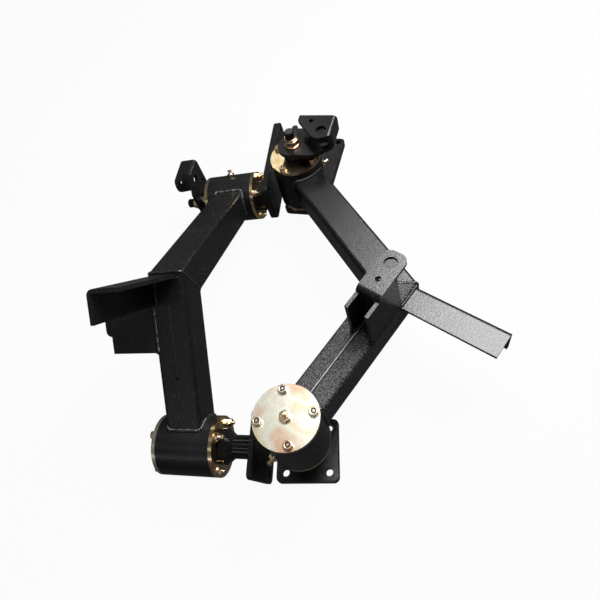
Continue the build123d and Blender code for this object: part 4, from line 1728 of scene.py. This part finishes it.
@dataclass(frozen=True)
class Lamp:
    """Oblong soft lamp.

    Attributes:
        name: Name of the lamp.
        at: Where it hangs.
        aim: The point that it faces.
        size: Its width and length.
        power: Its power in watts.
    """

    name: str
    at: tuple[float, float, float]
    aim: tuple[float, float, float]
    size: tuple[float, float]
    power: float

    def build(self) -> None:
        """Hangs the lamp and turns it to its aim."""
        data = bpy.data.lights.new(self.name, "AREA")
        data.shape = "RECTANGLE"
        data.size, data.size_y = self.size
        data.energy = self.power
        made = bpy.data.objects.new(self.name, data)
        bpy.context.scene.collection.objects.link(made)
        made.location = self.at
        made.rotation_mode = "QUATERNION"
        aside = Vector(self.aim) - Vector(self.at)
        made.rotation_quaternion = aside.to_track_quat("-Z", "Y")


@dataclass
class Studio:
    """White sweep, soft lamps and the camera.

    Attributes:
        eye: Camera position.
        right: Camera's right in the row frame.
        down: Camera's down in the row frame.
        ahead: Camera's view direction in the row frame.
        sensor: Width of the sensor in millimetres.
        lens: Focal length in millimetres.
        shift: Frame shift across and up.
        floor_slope: Rise of the floor along +Y.
        floor_start: Where the floor is at height zero along Y.
        floor_half: Half width of the floor.
        floor_gap: How far the floor lies under the arms' feet.
        floor_seen: Grey of the floor's paint to the eye.
        floor_bounce: Grey of the floor's paint for the light that it throws back.
        floor_white: Share of the floor that is its own white to the eye.
        floor_mirrored: Share of that white that reflections miss.
        surround: Strength of the world on the arms, where the eye sees 1.
        lamps: A key lamp beyond the bend, weak ones over the caps, and two strips in front.
    """

    eye: tuple[float, float, float] = (0.1705, -0.2454, 0.9006)
    right: tuple[float, float, float] = (0.97264, 0.04131, -0.22862)
    down: tuple[float, float, float] = (-0.08756, -0.84632, -0.52542)
    ahead: tuple[float, float, float] = (-0.2152, 0.53106, -0.81955)
    sensor: float = 36.0
    lens: float = 30.58
    shift: tuple[float, float] = (0.0325, -0.0105)
    floor_slope: float = 0.0594
    floor_start: float = 0.055
    floor_half: float = 6.0
    floor_gap: float = 0.0010
    floor_seen: float = 0.35
    floor_bounce: float = 0.10
    floor_white: float = 0.95
    floor_mirrored: float = 0.94
    surround: float = 0.09
    lamps: tuple[Lamp, ...] = (
        Lamp("key_lamp", (0.64, 0.80, 1.42), (0.2, 0.2, 0.1), (1.0, 1.2), 60.0),
        Lamp("fill_lamp", (-0.35, 0.35, 1.6), (0.0, 0.2, 0.1), (0.9, 0.9), 0.95),
        Lamp("back_lamp", (-0.30, 1.80, 1.5), (0.0, 0.5, 0.1), (0.4, 0.5), 0.8),
        Lamp("low_strip", (-0.5, -1.1, 0.55), (-0.1, 0.0, 0.05), (1.2, 0.12), 0.8),
        Lamp("high_strip", (-0.6, -0.8, 1.3), (-0.1, 0.0, 0.05), (1.2, 0.10), 0.5),
    )

    def camera(self) -> None:
        """Camera whose columns are right, up and back."""
        data = bpy.data.cameras.new("camera")
        data.sensor_width = self.sensor
        data.lens = self.lens
        data.shift_x, data.shift_y = self.shift
        data.clip_start, data.clip_end = 0.01, 100.0
        made = bpy.data.objects.new("camera", data)
        bpy.context.scene.collection.objects.link(made)
        rows = (self.right, [-v for v in self.down], [-v for v in self.ahead])
        turn = Matrix(rows).transposed().to_4x4()
        made.matrix_world = Matrix.Translation(self.eye) @ turn
        bpy.context.scene.camera = made

    def floor_finish(self) -> bpy.types.Material:
        """Pale floor: mostly its own white to the eye, dim in reflections, and part lit paint.

        Returns:
            The material.
        """
        material, w, shader = blank_material("white_sweep")
        shader.inputs["Roughness"].default_value = 0.9
        shader.inputs["Specular IOR Level"].default_value = 0.0
        glow = w.node("ShaderNodeEmission")
        rays = w.node("ShaderNodeLightPath").outputs
        bounce, seen = [self.floor_bounce] * 3, [self.floor_seen] * 3
        w.link(w.mixed(rays["Is Camera Ray"], bounce, seen), shader.inputs["Base Color"])
        mirrored = w.math("MAXIMUM", rays["Is Glossy Ray"], rays["Is Transmission Ray"])
        shown = w.math("MAXIMUM", rays["Is Camera Ray"], mirrored)
        dimmed = w.math("MULTIPLY", mirrored, self.floor_mirrored)
        w.link(w.math("SUBTRACT", 1.0, dimmed), glow.inputs["Strength"])
        blend = w.node("ShaderNodeMixShader")
        w.link(w.math("MULTIPLY", shown, self.floor_white), blend.inputs["Fac"])
        w.link(shader.outputs["BSDF"], blend.inputs[1])
        w.link(glow.outputs["Emission"], blend.inputs[2])
        output = next(n for n in material.node_tree.nodes if n.type == "OUTPUT_MATERIAL")
        w.link(blend.outputs["Shader"], output.inputs["Surface"])
        return material

    def floor(self) -> None:
        """Wide plane z = slope (y - start), just under the arms."""
        h = self.floor_half
        y = np.array([-h, -h, h, h])
        z = self.floor_slope * (y - self.floor_start) - self.floor_gap
        mesh = bpy.data.meshes.new("floor")
        mesh.from_pydata(np.column_stack([[-h, h, h, -h], y, z]).tolist(), [], [[0, 1, 2, 3]])
        mesh.materials.append(self.floor_finish())
        made = bpy.data.objects.new("floor", mesh)
        bpy.context.scene.collection.objects.link(made)

    def light(self) -> None:
        """Dim even surround, white to the eye, and the lamps."""
        world = bpy.data.worlds.new("surround")
        bpy.context.scene.world = world
        world.use_nodes = True
        world.node_tree.nodes.clear()
        w = Wiring(world.node_tree)
        output = w.node("ShaderNodeOutputWorld")
        rays = w.node("ShaderNodeLightPath").outputs
        seen = w.math("MAXIMUM", rays["Is Camera Ray"], rays["Is Transmission Ray"])
        back = w.node("ShaderNodeBackground")
        added = w.math("MULTIPLY", seen, 1.0 - self.surround)
        w.link(w.math("ADD", self.surround, added), back.inputs["Strength"])
        back.inputs["Color"].default_value = (1.0, 1.0, 1.0, 1.0)
        w.link(back.outputs["Background"], output.inputs["Surface"])
        for lamp in self.lamps:
            lamp.build()

    def build(self) -> None:
        """Makes the camera, the floor and the lamps."""
        bpy.context.scene.view_settings.view_transform = "Standard"
        self.camera()
        self.floor()
        self.light()


def main() -> None:
    """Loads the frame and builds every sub-assembly in order."""
    logging.basicConfig(level=logging.INFO, format="%(name)s %(message)s")
    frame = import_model()
    finishes = FinishBook()
    finishes.dress_nodes(frame)
    maker = PieceMaker(finishes)
    arms = [
        ArmFrame.from_joints("flat", frame["joints"], 1.0, -13.7),
        ArmFrame.from_joints("standing", frame["joints"], -1.0, 6.2),
    ]
    for arm in arms:
        BentArm().build(arm, maker)
        Fasteners().build(arm, maker)
        Feet().build(arm, maker)
        BracketWelds().build(arm, maker)
    Studio().build()


if __name__ == "__main__":
    main()
